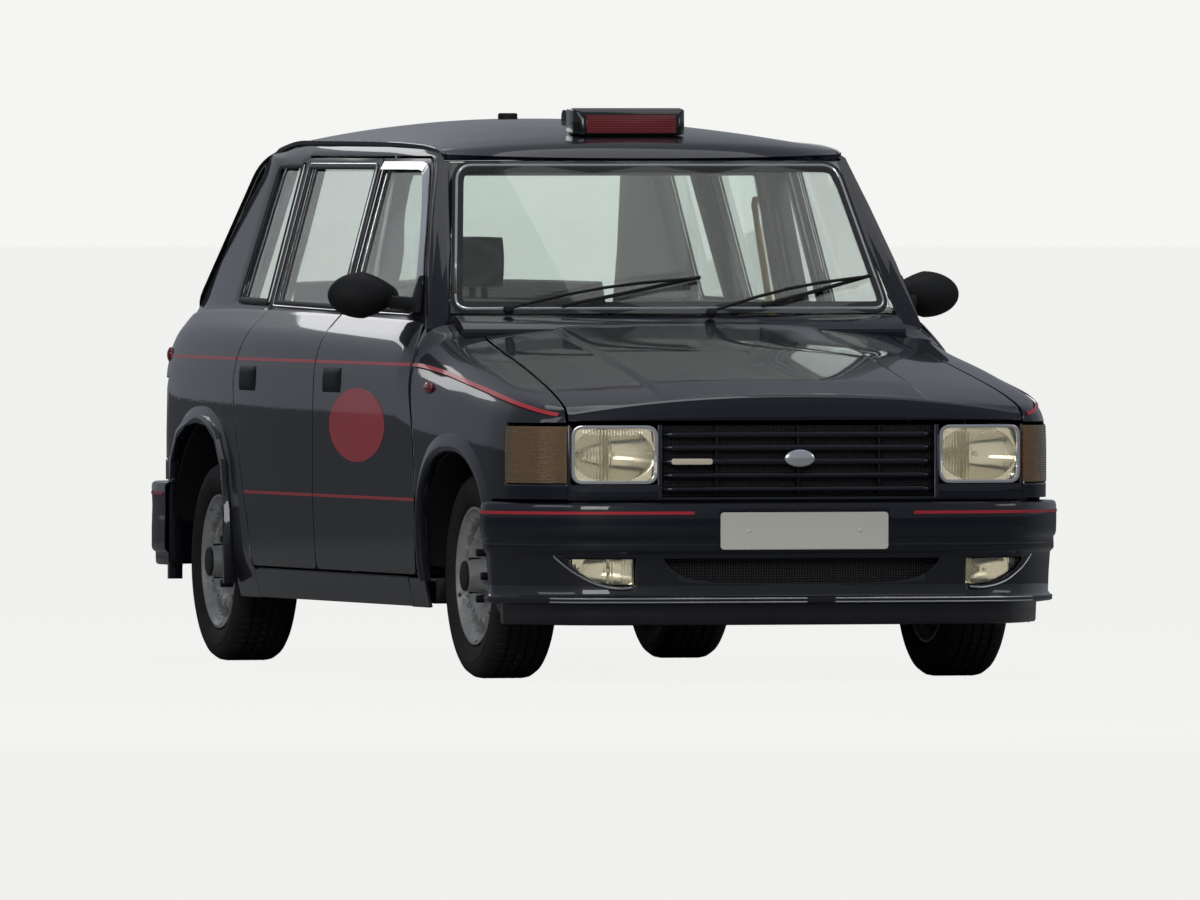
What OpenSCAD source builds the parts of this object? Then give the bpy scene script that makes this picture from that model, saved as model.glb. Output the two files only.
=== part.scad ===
// Taxi cab: a five-door family-sized cab with a hinged bonnet, boot lid and four doors.
// Lengths in millimetres. The car faces -Y, its left side is +X, the ground is Z = 0.

/* [Body] */
// Length over the bumpers
body_length = 4505; // [4300:5:4700]
// Width over the widest part of the doors
body_width = 1736; // [1650:2:1820]
// Height of the roof crown above the ground
roof_height = 1665; // [1560:5:1760]
// Thickness of the lower doors and side walls
wall_depth = 66; // [56:1:72]
// Thickness of the window frames of the doors
frame_depth = 28; // [22:1:32]
// Thickness of the pillars and the rail over the doors
pillar_depth = 60; // [50:1:66]
// Thickness of the bonnet, the wings and the boot lid
panel_depth = 24; // [18:1:28]
// Thickness of the roof with its lining
roof_depth = 30; // [24:1:36]
// Running gap round every door and lid
shut_gap = 8; // [7:0.5:10]
// Thickness of the side glass
glass_depth = 5; // [4:0.5:6]

/* [Wheels] */
// Distance between the axles
wheelbase = 2896; // [2860:4:2930]
// Track of the front wheels
front_track = 1400; // [1380:5:1410]
// Track of the rear wheels
rear_track = 1390; // [1370:5:1400]
// Outer radius of the tyres
tyre_radius = 305; // [290:1:312]
// Width of the tyres
tyre_width = 195; // [175:5:200]
// Radius of the rim flange
rim_radius = 205; // [195:1:210]
// Radius of the hub bore
hub_bore = 34; // [30:1:38]
// Radius of the stub axles
stub_radius = 27; // [22:1:28]
// Radius of the wheel nut circle
nut_circle = 72; // [70:1:76]

/* [Fittings] */
// Length of the number plates
plate_length = 520; // [500:5:530]
// Height of the number plates
plate_height = 111; // [100:1:115]
// Width of the grille
grille_width = 840; // [800:5:850]
// Width of the roof sign
sign_width = 350; // [320:2:380]
// Width of the rear bench
bench_width = 1020; // [940:10:1030]
// Radius of the steering wheel
steering_radius = 190; // [170:5:200]

/* [Hidden] */
$fn = 64;

paint = [0.06, 0.07, 0.13];
black = [0.07, 0.07, 0.08];
steel = [0.55, 0.56, 0.58];
clear = [0.75, 0.8, 0.82, 0.4];

// Ratios of the chosen sizes to the drawn ones
kx = body_width / 1736;
ky = body_length / 4505;
kz = roof_height / 1665;
half_length = body_length / 2;
front_axle = 810 * ky;
rear_axle_at = front_axle + wheelbase;
fit = 0.4;

// Drawn distance behind the nose, and drawn height, turned into real ones
function fy(s) = s * ky - half_length;
function pt(x, s, z) = [x * kx, fy(s), z * kz];
function side_poly(rows) = [for (r = rows) [fy(r[0]), r[1] * kz]];

// Plan outline of the left half at its widest: [half width, distance behind the nose]
nose_curve = [[0, 55], [250, 59], [450, 68], [620, 82], [700, 96]];
flank_curve = [[700, 96], [752, 132], [800, 205], [835, 305], [852, 450], [861, 700], [867, 1000],
    [868, 1400], [868, 2000], [868, 2600], [864, 3000], [852, 3350], [834, 3700], [808, 4050],
    [782, 4280], [752, 4420], [700, 4456]];
tail_curve = [[700, 4456], [450, 4474], [0, 4482]];
// Side section: [height, half width]
section_curve = [[210, 833], [350, 860], [550, 868], [750, 868], [880, 864], [950, 851],
    [1000, 830], [1040, 797], [1060, 778]];
// Height of the shoulder where the side turns into the top: [distance, height]
belt_curve = [[96, 800], [305, 843], [700, 912], [1250, 998], [1330, 1028], [1400, 1052],
    [1530, 1060], [3570, 1082], [4050, 1076], [4280, 1062], [4420, 1030], [4456, 1012]];
// How far the shoulder is rounded inward: [distance, ratio]
round_curve = [[96, 0.3], [305, 0.55], [700, 0.85], [1250, 1]];
// Half width of the rail over the doors: [distance, half width]
rail_curve = [[1330, 668], [1700, 641], [2300, 648], [3000, 645], [3400, 628], [3800, 596],
    [4280, 560]];
// Height of the roof edge and of its crown: [distance, height]
gutter_curve = [[1330, 1557], [1712, 1557], [1780, 1569], [1950, 1582], [2300, 1590], [3300, 1594],
    [3680, 1572], [3775, 1557], [4280, 1557]];
crown_curve = [[1712, 1545], [1735, 1570], [1780, 1592], [1950, 1620], [2250, 1646],
    [2600, 1660], [2950, 1665], [3250, 1657], [3500, 1635], [3660, 1600], [3740, 1572],
    [3775, 1548]];
frame_top = 1545;

function flip(rows) = [for (r = rows) [r[1], r[0]]];
flank_width = flip(flank_curve);
function half_width(s) = lookup(s, flank_width);
function nose_at(x) = lookup(abs(x), nose_curve);
function belt(s) = lookup(s, belt_curve);
function rounding(s) = lookup(s, round_curve);
function stretched(s, z) = z < 600 ? z : 600 + (z - 600) * 460 / (belt(s) - 600);
function section(s, z) = let (zz = stretched(s, z), w = lookup(zz, section_curve))
    zz > 750 ? 868 - rounding(s) * (868 - w) : w;
function flank_x(c, z) = c[0] * section(c[1], z) / 868;
function belt_x(s) = half_width(s) * section(s, belt(s)) / 868;
function rail_x(s) = lookup(s, rail_curve);
function gutter(s) = lookup(s, gutter_curve);
function crown(s) = lookup(s, crown_curve);
// Height of the bonnet and wing tops, with the raised centre panel of the bonnet
bonnet_rise = [[96, 50], [1250, 44], [1400, 30]];
crease_width = 405;
function top_z(s, x) = belt(s) + lookup(s, bonnet_rise) * (1 - pow(min(abs(x) / belt_x(s), 1), 2.2));

// Rows of points from the sill to the shoulder for the given flank columns
function unmap(s, zz) = zz < 600 ? zz : 600 + (zz - 600) * (belt(s) - 600) / 460;
function flank_grid(cols, heights) =
    [for (h = heights) [for (c = cols) let (z = unmap(c[1], h)) [flank_x(c, z), c[1], z]]];
// Rows over the shoulder, from the window line up to the gutter
function upper_grid(cols) = [
    for (t = [0.04, 0.35, 0.7, 1]) [for (c = cols) let (s = c[1], w = belt_x(s) - 2, h = belt(s))
        [w * (1 - t) + rail_x(s) * t, s, h * (1 - t) + frame_top * t]],
    [for (c = cols) [rail_x(c[1]) - 9, c[1], (frame_top + gutter(c[1])) / 2]],
    [for (c = cols) [rail_x(c[1]) - 24, c[1], gutter(c[1])]]];

function unit(v) = v / max(norm(v), 0.001);
function facing(g, i, j) = let (n = len(g) - 1, m = len(g[0]) - 1,
    a = g[min(i + 1, n)][j] - g[max(i - 1, 0)][j],
    b = g[i][min(j + 1, m)] - g[i][max(j - 1, 0)]) unit(cross(a, b));
// The grid moved inward, by a depth for each of its rows
function sunk(g, depths) = [for (i = [0:len(g) - 1]) [for (j = [0:len(g[0]) - 1])
    g[i][j] + facing(g, i, j) * depths[i]]];
function real(g) = [for (r = g) [for (p = r) pt(p[0], p[1], p[2])]];
function even(g, d) = [for (r = g) d];

// A closed skin between an outer and an inner grid of points
module between(a, b) {
    n = len(a);
    m = len(a[0]);
    k = n * m;
    points = concat([for (r = a) each r], [for (r = b) each r]);
    faces = concat(
        [for (i = [0:n - 2]) for (j = [0:m - 2]) each [
            [(i + 1) * m + j + 1, i * m + j + 1, i * m + j],
            [(i + 1) * m + j, (i + 1) * m + j + 1, i * m + j],
            [k + i * m + j + 1, k + (i + 1) * m + j + 1, k + i * m + j],
            [k + (i + 1) * m + j + 1, k + (i + 1) * m + j, k + i * m + j]]],
        [for (i = [0:n - 2]) each [
            [k + (i + 1) * m, (i + 1) * m, i * m],
            [k + i * m, k + (i + 1) * m, i * m],
            [(i + 1) * m + m - 1, k + (i + 1) * m + m - 1, i * m + m - 1],
            [k + (i + 1) * m + m - 1, k + i * m + m - 1, i * m + m - 1]]],
        [for (j = [0:m - 2]) each [
            [j + 1, k + j + 1, j],
            [k + j + 1, k + j, j],
            [k + (n - 1) * m + j + 1, (n - 1) * m + j + 1, (n - 1) * m + j],
            [k + (n - 1) * m + j, k + (n - 1) * m + j + 1, (n - 1) * m + j]]]);
    polyhedron(points = points, faces = faces, convexity = 8);
}

module skin(grid, depths) {
    g = real(grid);
    between(g, sunk(g, depths));
}

module inner_skin(grid, from, to) {
    g = real(grid);
    between(sunk(g, even(g, from)), sunk(g, even(g, to)));
}

// A block seen from the side, between two half widths
module side_prism(poly, x0, x1) {
    translate([x0, 0, 0])
        rotate([90, 0, 90])
            linear_extrude(x1 - x0)
                polygon(poly);
}

// A block seen from the front, between two distances behind the nose
module front_prism(poly, s0, s1) {
    translate([0, fy(s1), 0])
        rotate([90, 0, 0])
            linear_extrude((s1 - s0) * ky)
                polygon(poly);
}

// A box given by its corners in drawn distances
module span(x0, x1, s0, s1, z0, z1) {
    translate([x0 * kx, fy(s0), z0 * kz])
        cube([(x1 - x0) * kx, (s1 - s0) * ky, (z1 - z0) * kz]);
}

module both() {
    children();
    mirror([1, 0, 0])
        children();
}

// Polygon moved outward by a distance, corners kept sharp
function grow(p, d) = let (n = len(p)) [for (i = [0:n - 1])
    let (u = unit(p[i] - p[(i + n - 1) % n]), v = unit(p[(i + 1) % n] - p[i]),
        a = [u[1], -u[0]], b = [v[1], -v[0]]) p[i] + d * (a + b) / (1 + a * b)];

// Openings for the doors in the side: [distance, height], upper rear edge held back by a given amount
function front_opening(back) = side_poly([[1196, 296], [2308, 296], [2308, 1040],
    [2308 - back, 1064], [2308 - back, 1552], [1800, 1552], [1757, 1536], [1388, 1054], [1338, 1006],
    [1272, 913], [1202, 760], [1166, 526], [1172, 420]]);
function rear_opening(back) = side_poly([[2300, 296], [3062, 296], [3082, 430], [3190, 640],
    [3258, 765], [3270, 860], [3232, 962], [3172 - back, 1060], [3162 - back, 1300],
    [3172 - back, 1552], [2300, 1552]]);
upper_back = 6;
door_front_shape = grow(front_opening(upper_back), -shut_gap);
door_rear_shape = grow(rear_opening(upper_back), -shut_gap);

// Glass openings in the doors and behind them
front_window = side_poly([[1546, 1086], [2256, 1094], [2256, 1518], [1808, 1518], [1780, 1506],
    [1508, 1160], [1510, 1120]]);
rear_window = side_poly([[2350, 1094], [3118, 1104], [3122, 1518], [2350, 1518]]);
quarter_window = side_poly([[3206, 1104], [3590, 1108], [3596, 1130], [3560, 1500], [3540, 1522],
    [3220, 1524]]);

// ---------- body side ----------
all_heights = [212, 350, 550, 750, 880, 950, 1000, 1040, 1060];
frame_cols = [[867, 1320], [868, 1500], [868, 1712], [868, 1950], [868, 2300], [866, 2800],
    [862, 3090], [855, 3280], [848, 3450], [834, 3700], [808, 4050], [782, 4280], [752, 4420],
    [700, 4456], [600, 4465]];
function side_grid(cols) = concat(flank_grid(cols, all_heights), upper_grid(cols));
function side_depths(low, high) = concat([for (h = all_heights) low], [high, high, high, high,
    min(high, 14), 3]);
pillar_slope = side_poly([[1000, 900], [1363, 900], [1367, 1046], [1728, 1557], [1752, 1640], [1000, 1640]]);
tail_slope = side_poly([[4250, 1070], [3777, 1557], [3700, 1640], [4700, 1640], [4700, 1000],
    [4456, 1013], [4420, 1031], [4280, 1063]]);
liner_front = tyre_radius + 41;
// Wheel openings in the skin, from the wheel centre: [back, up]
arch_front = [[-366, -350], [316, -350], [316, 90], [306, 180], [272, 262], [204, 325], [110, 360],
    [0, 371], [-125, 362], [-230, 325], [-310, 262], [-352, 180], [-366, 90]];
arch_rear = [[-404, -350], [412, -350], [412, 190], [386, 300], [300, 376], [160, 416], [0, 427],
    [-140, 418], [-268, 375], [-358, 290], [-398, 160]];
function opening(rows, at) = [for (q = rows) [fy(0) + at + q[0], tyre_radius + q[1]]];

module wheel_hole(at, radius, x0, x1) {
    translate([x0, fy(0) + at, tyre_radius])
        rotate([0, 90, 0])
            cylinder(r = radius, h = x1 - x0, $fn = 96);
}

// The rolled lip round a wheel opening
module arch_lip(rows, at, x, turn) {
    shape = [for (q = rows) [q[0], tyre_radius + q[1]]];
    translate([x * kx, fy(0) + at, 0])
        rotate([0, 0, turn])
            difference() {
                side_prism(grow(shape, 26), -24, 18);
                side_prism(shape, -60, 60);
                translate([-60, -600, -500])
                    cube([120, 1200, 500 + tyre_radius - 60]);
            }
}

hinge_post = side_poly([[1180, 222], [1300, 222], [1300, 950], [1250, 950], [1180, 780]]);
centre_post = [[704, 222], [742, 222], [746, 330], [756, 420], [760, 760], [748, 880], [716, 985],
    [698, 1060], [594, 1582], [544, 1576], [640, 1060]];

module body_side() {
    difference() {
        union() {
            skin(side_grid(frame_cols), side_depths(wall_depth, pillar_depth));
            side_prism(hinge_post, 690.4 * kx, 752 * kx);
            span(690, 800, 1182, 3290, 216, 292);
        }
        side_prism(front_opening(0), 400, 1000);
        side_prism(rear_opening(0), 400, 1000);
        side_prism(quarter_window, 400, 1000);
        side_prism(pillar_slope, 400, 1000);
        side_prism(tail_slope, 400, 1000);
        side_prism(opening(arch_rear, rear_axle_at), 600, 1000);
        span(500, 1000, 4030, 4700, 100, 548);
        span(625, 1000, 4290, 4700, 612, 862);
        span(300, 624, 4200, 4700, 500, 1200);
    }
    front_prism([for (p = centre_post) [p[0] * kx, p[1] * kz]], 2262, 2346);
    arch_lip(arch_rear, rear_axle_at, 836, 3.6);
    difference() {
        side_prism(grow(opening(arch_rear, rear_axle_at), 14), 520 * kx, 806 * kx);
        side_prism(grow(opening(arch_rear, rear_axle_at), 3), 532 * kx, 1000);
        translate([0, -3000, -500])
            cube([1000, 6000, 500 + tyre_radius]);
        span(500, 560, 3630, 3782, 200, 356);
    }
}

module side_frame_right() {
    color(paint)
        mirror([1, 0, 0])
            body_side();
}

module side_frame_left() {
    color(paint)
        body_side();
}

// ---------- doors ----------
module door(cols, shape, window) {
    difference() {
        intersection() {
            skin(side_grid(cols), side_depths(wall_depth, frame_depth));
            side_prism(shape, 400, 1000);
        }
        side_prism(window, 400, 1000);
    }
}

front_door_cols = [[867, 1100], [868, 1330], [868, 1530], [868, 1712], [868, 1950], [868, 2350]];
rear_door_cols = [[868, 2270], [866, 2800], [862, 3090], [852, 3350]];

module front_door_left() {
    color(paint)
        door(front_door_cols, door_front_shape, front_window);
}

module front_door_right() {
    mirror([1, 0, 0])
        front_door_left();
}

module rear_door_left() {
    color(paint)
        door(rear_door_cols, door_rear_shape, rear_window);
}

module rear_door_right() {
    mirror([1, 0, 0])
        rear_door_left();
}

module side_glass(cols, window) {
    color(clear)
        intersection() {
            inner_skin(upper_grid(cols), 9, 9 + glass_depth);
            side_prism(grow(window, -fit), 400, 1000);
        }
}

module front_door_glass_left() {
    side_glass(front_door_cols, front_window);
}

module front_door_glass_right() {
    mirror([1, 0, 0])
        front_door_glass_left();
}

module rear_door_glass_left() {
    side_glass(rear_door_cols, rear_window);
}

module rear_door_glass_right() {
    mirror([1, 0, 0])
        rear_door_glass_left();
}

module quarter_glass() {
    both()
        side_glass([[860, 3150], [848, 3450], [834, 3700]], quarter_window);
}

// ---------- roof, screens and scuttle ----------
roof_stations = [1712, 1735, 1780, 1950, 2250, 2600, 2950, 3250, 3500, 3660, 3740, 3775];
roof_fractions = [-1, -0.86, -0.62, -0.32, 0, 0.32, 0.62, 0.86, 1];
function roof_s(s, x) = s - 52 * (1 - pow(x / 620, 2)) * max(0, (2300 - s) / 588)
    + 45 * (1 - pow(x / 600, 2)) * max(0, (s - 3200) / 575);
function roof_point(s, f) = let (x = f * (rail_x(s) - 28.2))
    [x, roof_s(s, x), gutter(s) + (crown(s) - gutter(s)) * (1 - pow(abs(f), 2.4))];

roof_grid = [for (s = roof_stations) [for (f = roof_fractions) roof_point(s, f)]];
// The lining lies under the skin and runs out to a thin rim
roof_lining = [for (r = roof_grid) [for (j = [0:len(r) - 1]) let (rim = abs(roof_fractions[j]) == 1)
    [r[j][0] * (rim ? 1 : 0.985), r[j][1], r[j][2] - (rim ? 3 : roof_depth)]]];

module roof_panel() {
    color(paint)
        between(real(roof_grid), real(roof_lining));
}

screen_fractions = [-1, -0.7, -0.35, 0, 0.35, 0.7, 1];
function front_screen_s(x, z) = 1400.6 + (z - 1090) * 0.659 - 55 * (1 - pow(x / 640, 2));
function rear_screen_s(x, z) = 4259.9 - (z - 1073) * 0.971
    + (10 + (z - 1073) * 0.075) * (1 - pow(x / (672 - (z - 1086) * 0.196), 2));

module windscreen() {
    color(clear)
        intersection() {
            skin([for (z = [1060, 1230, 1400, 1570]) [for (f = screen_fractions)
                [f * 720, front_screen_s(f * 720, z), z]]], [6, 6, 6, 6]);
            front_prism([[-690 * kx, 1080 * kz], [690 * kx, 1080 * kz], [604 * kx, 1536 * kz],
                [-604 * kx, 1536 * kz]], 1200, 1900);
        }
}

module rear_screen() {
    color(clear)
        intersection() {
            skin([for (z = [1050, 1230, 1400, 1570]) [for (f = screen_fractions)
                [-f * 700, rear_screen_s(f * 700, z), z]]], [6, 6, 6, 6]);
            front_prism([[-672 * kx, 1070.2 * kz], [672 * kx, 1070.2 * kz], [584 * kx, 1536 * kz],
                [-584 * kx, 1536 * kz]], 3600, 4400);
        }
}

scuttle_line = side_poly([[1258, 1005], [1352, 1030], [1388, 1069], [1352, 1074], [1300, 1058],
    [1258, 1034]]);

module scuttle_panel() {
    color(paint) {
        side_prism(scuttle_line, -690 * kx, 690 * kx);
        difference() {
            span(-690, 690, 1262, 1300, 292.4, 1012);
            span(-130, 130, 1200, 1400, 200, 420);
        }
        span(-690, 690, 1262, 1345, 990, 1012);
    }
}

// ---------- nose ----------
function mirrored(c) = concat([for (i = [len(c) - 1:-1:1]) [-c[i][0], c[i][1]]], c);
function plan_points(c) = [for (q = c) [q[0] * kx, fy(q[1])]];

// A level band that follows a plan curve across the car
module band(curve, depth, z0, z1) {
    c = mirrored(curve);
    n = len(c);
    translate([0, 0, z0 * kz])
        linear_extrude((z1 - z0) * kz)
            polygon(plan_points(concat(c, [for (i = [n - 1:-1:0]) [c[i][0], c[i][1] + depth]])));
}

lamp_in = 432;
lamp_out = 692;
lamp_low = 586;
lamp_high = 760;

module nose_panel() {
    color(paint)
        difference() {
            band(nose_curve, 60, 536, 760);
            span(-grille_width / 2, grille_width / 2, 0, 400, 546, 800);
            for (side = [-1, 1])
                translate([side * (lamp_in + lamp_out) / 2 * kx, 0, 0])
                    span(-(lamp_out - lamp_in) / 2, (lamp_out - lamp_in) / 2, 0, 400,
                        lamp_low - 2, 800);
        }
}

slat_count = 5;
slat_pitch = 41;

module grille() {
    half = grille_width / 2 - fit;
    color(black)
        intersection() {
            union() {
                for (i = [0:slat_count - 1])
                    band(nose_curve, 24, 560 + i * slat_pitch, 574 + i * slat_pitch);
                for (x = [-250, 0, 250])
                    span(x - 5, x + 5, 66, 100, 556, 752);
                band([[0, 86], [450, 99]], 6, 550, 758);
            }
            span(-half, half, 0, 300, 548, 758);
        }
}

module headlamps() {
    color(clear)
        both() {
            span(lamp_in + fit, lamp_out - fit, 88, 190, lamp_low - 2 + fit, lamp_high - 1);
            span(508 + fit, 692 - fit, 78, 118, 287 + fit, 366 - fit);
        }
}

corner_cols = [[700, 96], [752, 132], [800, 205], [835, 305]];
corner_heights = [540, 700, 850, 1000, 1060];

module indicator_lamps() {
    color([0.85, 0.6, 0.35])
        both()
            intersection() {
                inner_skin(flank_grid(corner_cols, corner_heights), 0, 34);
                span(700 + fit, 900, 60, 300 - fit, 584 + fit, 758);
            }
}

wing_cols = [[700, 96], [752, 132], [800, 205], [835, 305], [852, 450], [861, 700], [867, 1000],
    [868, 1240], [868, 1400]];
shut_front_x = 698;
shut_rear_x = 626;
function wing_top(f) = [for (c = wing_cols) let (x0 = flank_x(c, belt(c[1])),
    x1 = (c[1] < 205 ? 600 : 560), x = x0 + (x1 - x0) * f) [x, c[1], top_z(c[1], x)]];
bonnet_line = [[-shut_front_x, 40], [shut_front_x, 40], [shut_front_x, 90], [shut_rear_x, 1250],
    [-shut_rear_x, 1250], [-shut_front_x, 90]];

wing_heights = [212, 350, 550, 750, 900, 1000, 1060];
wing_ratio = [1, 1, 1, 1, 0.8, 0.6, 0.5, 0.6, 0.7, 0.7];
wing_outline = side_poly([[404, 205], [1316, 205], [1316, 292], [1190, 292], [1172, 420],
    [1166, 526], [1202, 760], [1272, 913], [1338, 1006], [1362, 1036], [1362, 1120], [40, 1120],
    [40, 766], [301, 766], [301, 584], [40, 584], [40, 541], [404, 541]]);

module front_wings() {
    color(paint)
        both() {
            difference() {
                intersection() {
                    skin(concat(flank_grid(wing_cols, wing_heights),
                        [for (f = [0.3, 0.65, 1]) wing_top(f)]), panel_depth * wing_ratio);
                    side_prism(wing_outline, 500, 1000);
                }
                side_prism(opening(arch_front, front_axle), 600, 1000);
                translate([0, 0, 700])
                    linear_extrude(700)
                        polygon(grow(plan_points(bonnet_line), shut_gap));
                span(500, 692, 1200, 1500, 900, 1200);
                span(500, 700, 0, 240, 500, 776);
            }
            arch_lip(arch_front, front_axle, 852, -1);
            difference() {
                wheel_hole(front_axle, liner_front + 11, 422 * kx, 832 * kx);
                wheel_hole(front_axle, liner_front, 432 * kx, 1000);
                translate([0, -3000, -500])
                    cube([1000, 6000, 500 + tyre_radius]);
                span(0, 600, 730, 890, 0, 486);
            }
        }
}

bonnet_x = [-700, -560, -412, -398, -200, 0, 200, 398, 412, 560, 700];
bonnet_stations = [150, 305, 500, 700, 1000, 1250];
function raised(x, s) = abs(x) < crease_width ? 8 * min(1, (s - 50) / 200) : 0;
function bonnet_grid() = [
    [for (x = bonnet_x) [x, nose_at(x), 773]],
    [for (x = bonnet_x) [x, nose_at(x) + 2, top_z(96, x) - 26]],
    [for (x = bonnet_x) [x, nose_at(x) + 14, top_z(96, x) - 6]],
    for (s = bonnet_stations) [for (x = bonnet_x) [x, s, top_z(s, x) + raised(x, s)]]];

module bonnet() {
    color(paint)
        intersection() {
            inner_skin(bonnet_grid(), 0, panel_depth);
            translate([0, 0, 768 * kz])
                linear_extrude(600)
                    polygon(plan_points(bonnet_line));
        }
}

// ---------- bumpers ----------
bumper_curve = [[0, 0], [300, 4], [480, 16], [620, 42], [700, 80], [760, 138], [812, 210],
    [852, 280], [882, 345], [884, 396]];
rear_bumper_curve = [[0, 4505], [450, 4499], [640, 4482], [740, 4442], [800, 4380], [832, 4300],
    [846, 4200], [848, 4064]];

function inner_curve(c, d, way) = [for (q = c) [max(q[0] - d, 0), q[1] + d * way]];

module hoop(curve, inset, depth, way, z0, z1) {
    outer = mirrored(inner_curve(curve, inset, way));
    inner = mirrored(inner_curve(curve, inset + depth, way));
    translate([0, 0, z0 * kz])
        linear_extrude((z1 - z0) * kz)
            difference() {
                polygon(plan_points(outer));
                polygon(plan_points(inner));
            }
}

module front_bumper() {
    plate_half = plate_length / 2 + 3;
    plate_mid = 447 * kz;
    color(paint)
        difference() {
            union() {
                hoop(bumper_curve, 62, 60, 1, 166, 234);
                hoop(bumper_curve, 12, 90, 1, 234, 252);
                hoop(bumper_curve, 24, 84, 1, 252, 384);
                hoop(bumper_curve, 8, 96, 1, 384, 430);
                hoop(bumper_curve, 0, 104, 1, 430, 531);
            }
            translate([-plate_half, -half_length - 10, plate_mid - plate_height / 2 - 3])
                cube([plate_half * 2, 16, plate_height + 6]);
            span(-405, 405, 0, 180, 284, 366);
            for (side = [-1, 1])
                translate([side * 600 * kx, 0, 0])
                    span(-92, 92, 0, 200, 287, 366);
            for (side = [-1, 1])
                translate([side * 840 * kx, 0, 0])
                    span(-240, 240, 396, 800, 100, 600);
        }
    color(black) {
        band([[0, 96], [405, 102]], 8, 280, 370);
        band([[0, 88], [405, 94]], 14, 322, 328);
    }
}

module rear_bumper() {
    plate_half = plate_length / 2 + 3;
    plate_mid = 437 * kz;
    color(paint)
        difference() {
            union() {
                hoop(rear_bumper_curve, 14, 80, -1, 285, 330);
                hoop(rear_bumper_curve, 0, 94, -1, 330, 545);
            }
            translate([-plate_half, half_length - 6, plate_mid - plate_height / 2 - 3])
                cube([plate_half * 2, 16, plate_height + 6]);
            both()
                side_prism(grow(opening(arch_rear, rear_axle_at), 32), 400, 1000);
        }
}

// ---------- tail ----------
tail_x = [660, 480, 240, 0, -240, -480, -660];
tail_rows = [[548, 0], [700, 2], [880, 8], [960, 14], [1002, 26], [1030, 48], [1048, 90],
    [1062, 168], [1070, 222], [1076, 250]];
function tail_at(x) = lookup(abs(x), tail_curve_rows);
tail_curve_rows = [[0, 4482], [450, 4474], [700, 4456]];
tail_grid = [for (r = tail_rows) [for (x = tail_x) [x, tail_at(x) - r[1], r[0]]]];
lid_half = 616;

module rear_panel() {
    color(paint)
        difference() {
            inner_skin(tail_grid, 0, panel_depth);
            span(-lid_half - 8, lid_half + 8, 4274, 4600, 585, 1200);
            span(-1000, -624 + fit, 4000, 4600, 400, 1200);
            span(624 - fit, 1000, 4000, 4600, 400, 1200);
        }
}

module boot_lid() {
    color(paint)
        intersection() {
            inner_skin(tail_grid, 0, panel_depth);
            span(-lid_half, lid_half, 4282, 4600, 593, 1200);
        }
}

tail_lamp_cols = [[808, 4050], [782, 4280], [752, 4420], [700, 4456], [600, 4465]];

module tail_lamps() {
    color([0.7, 0.05, 0.05])
        both()
            intersection() {
                inner_skin(flank_grid(tail_lamp_cols, [560, 700, 850, 950]), 0, 40);
                span(625 + fit, 1000, 4290 + fit, 4600, 612 + fit, 862 - fit);
            }
}

// ---------- outside fittings ----------
module mirror_left() {
    head_rows = [[884, 1712, 1132, 50], [910, 1700, 1134, 60], [936, 1710, 1132, 52]];
    foot = pt(880, 1690, 1120);
    root = pt(745, 1500, 1106);
    reach = root - foot;
    color(black) {
        hull()
            for (r = head_rows)
                translate(pt(r[0], r[1], r[2]))
                    sphere(r = r[3], $fn = 24);
        difference() {
            translate(foot)
                rotate([0, acos(reach[2] / norm(reach)), atan2(reach[1], reach[0])])
                    cylinder(r = 20, h = norm(reach));
            front_prism([[400 * kx, 1000 * kz], [791.6 * kx, 1000 * kz], [742 * kx, 1200 * kz],
                [400 * kx, 1200 * kz]], 1300, 1700);
        }
    }
}

module mirror_right() {
    mirror([1, 0, 0])
        mirror_left();
}

module roof_sign() {
    half = sign_width / 2;
    color(black)
        intersection() {
            translate([0, fy(1832), 1570 * kz])
                linear_extrude(126)
                    polygon([[-half, 34], [-half + 20, 8], [0, 0], [half - 20, 8], [half, 34],
                        [half, 110], [half - 30, 190], [60, 340], [0, 370], [-60, 340],
                        [30 - half, 190], [-half, 110]]);
            side_prism([[fy(1800), 1609.5 * kz], [fy(2250), 1652.5 * kz], [fy(2250), 1662 * kz],
                [fy(2050), 1690 * kz], [fy(1900), 1696 * kz], [fy(1850), 1690 * kz],
                [fy(1820), 1612 * kz]], -half, half);
        }
}

// Wipers: [pivot x, pivot distance, pivot height, tip x, tip height]
wiper_table = [[-526, 1344, 1074.8, 62, 1184], [97, 1312, 1065.6, 612, 1188]];

module rod(a, b, r) {
    d = b - a;
    translate(a)
        rotate([0, acos(d[2] / norm(d)), atan2(d[1], d[0])])
            cylinder(r = r, h = norm(d));
}

module wipers() {
    color(black)
        for (w = wiper_table) {
            pivot = pt(w[0], w[1], w[2]);
            tip_x = w[3];
            tip_z = w[4];
            translate(pivot)
                cylinder(r = 13, h = 26);
            rod(pivot + [0, 0, 20], pt(tip_x, front_screen_s(tip_x, tip_z) - 34, tip_z), 5);
            rod(pt(w[0] + 190, front_screen_s(w[0] + 190, 1104) - 26, 1104),
                pt(tip_x + 10, front_screen_s(tip_x + 10, tip_z) - 24, tip_z + 4), 6);
        }
}

// ---------- structure under the body ----------
rail_x_in = 340;
rail_x_out = 410;

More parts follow.
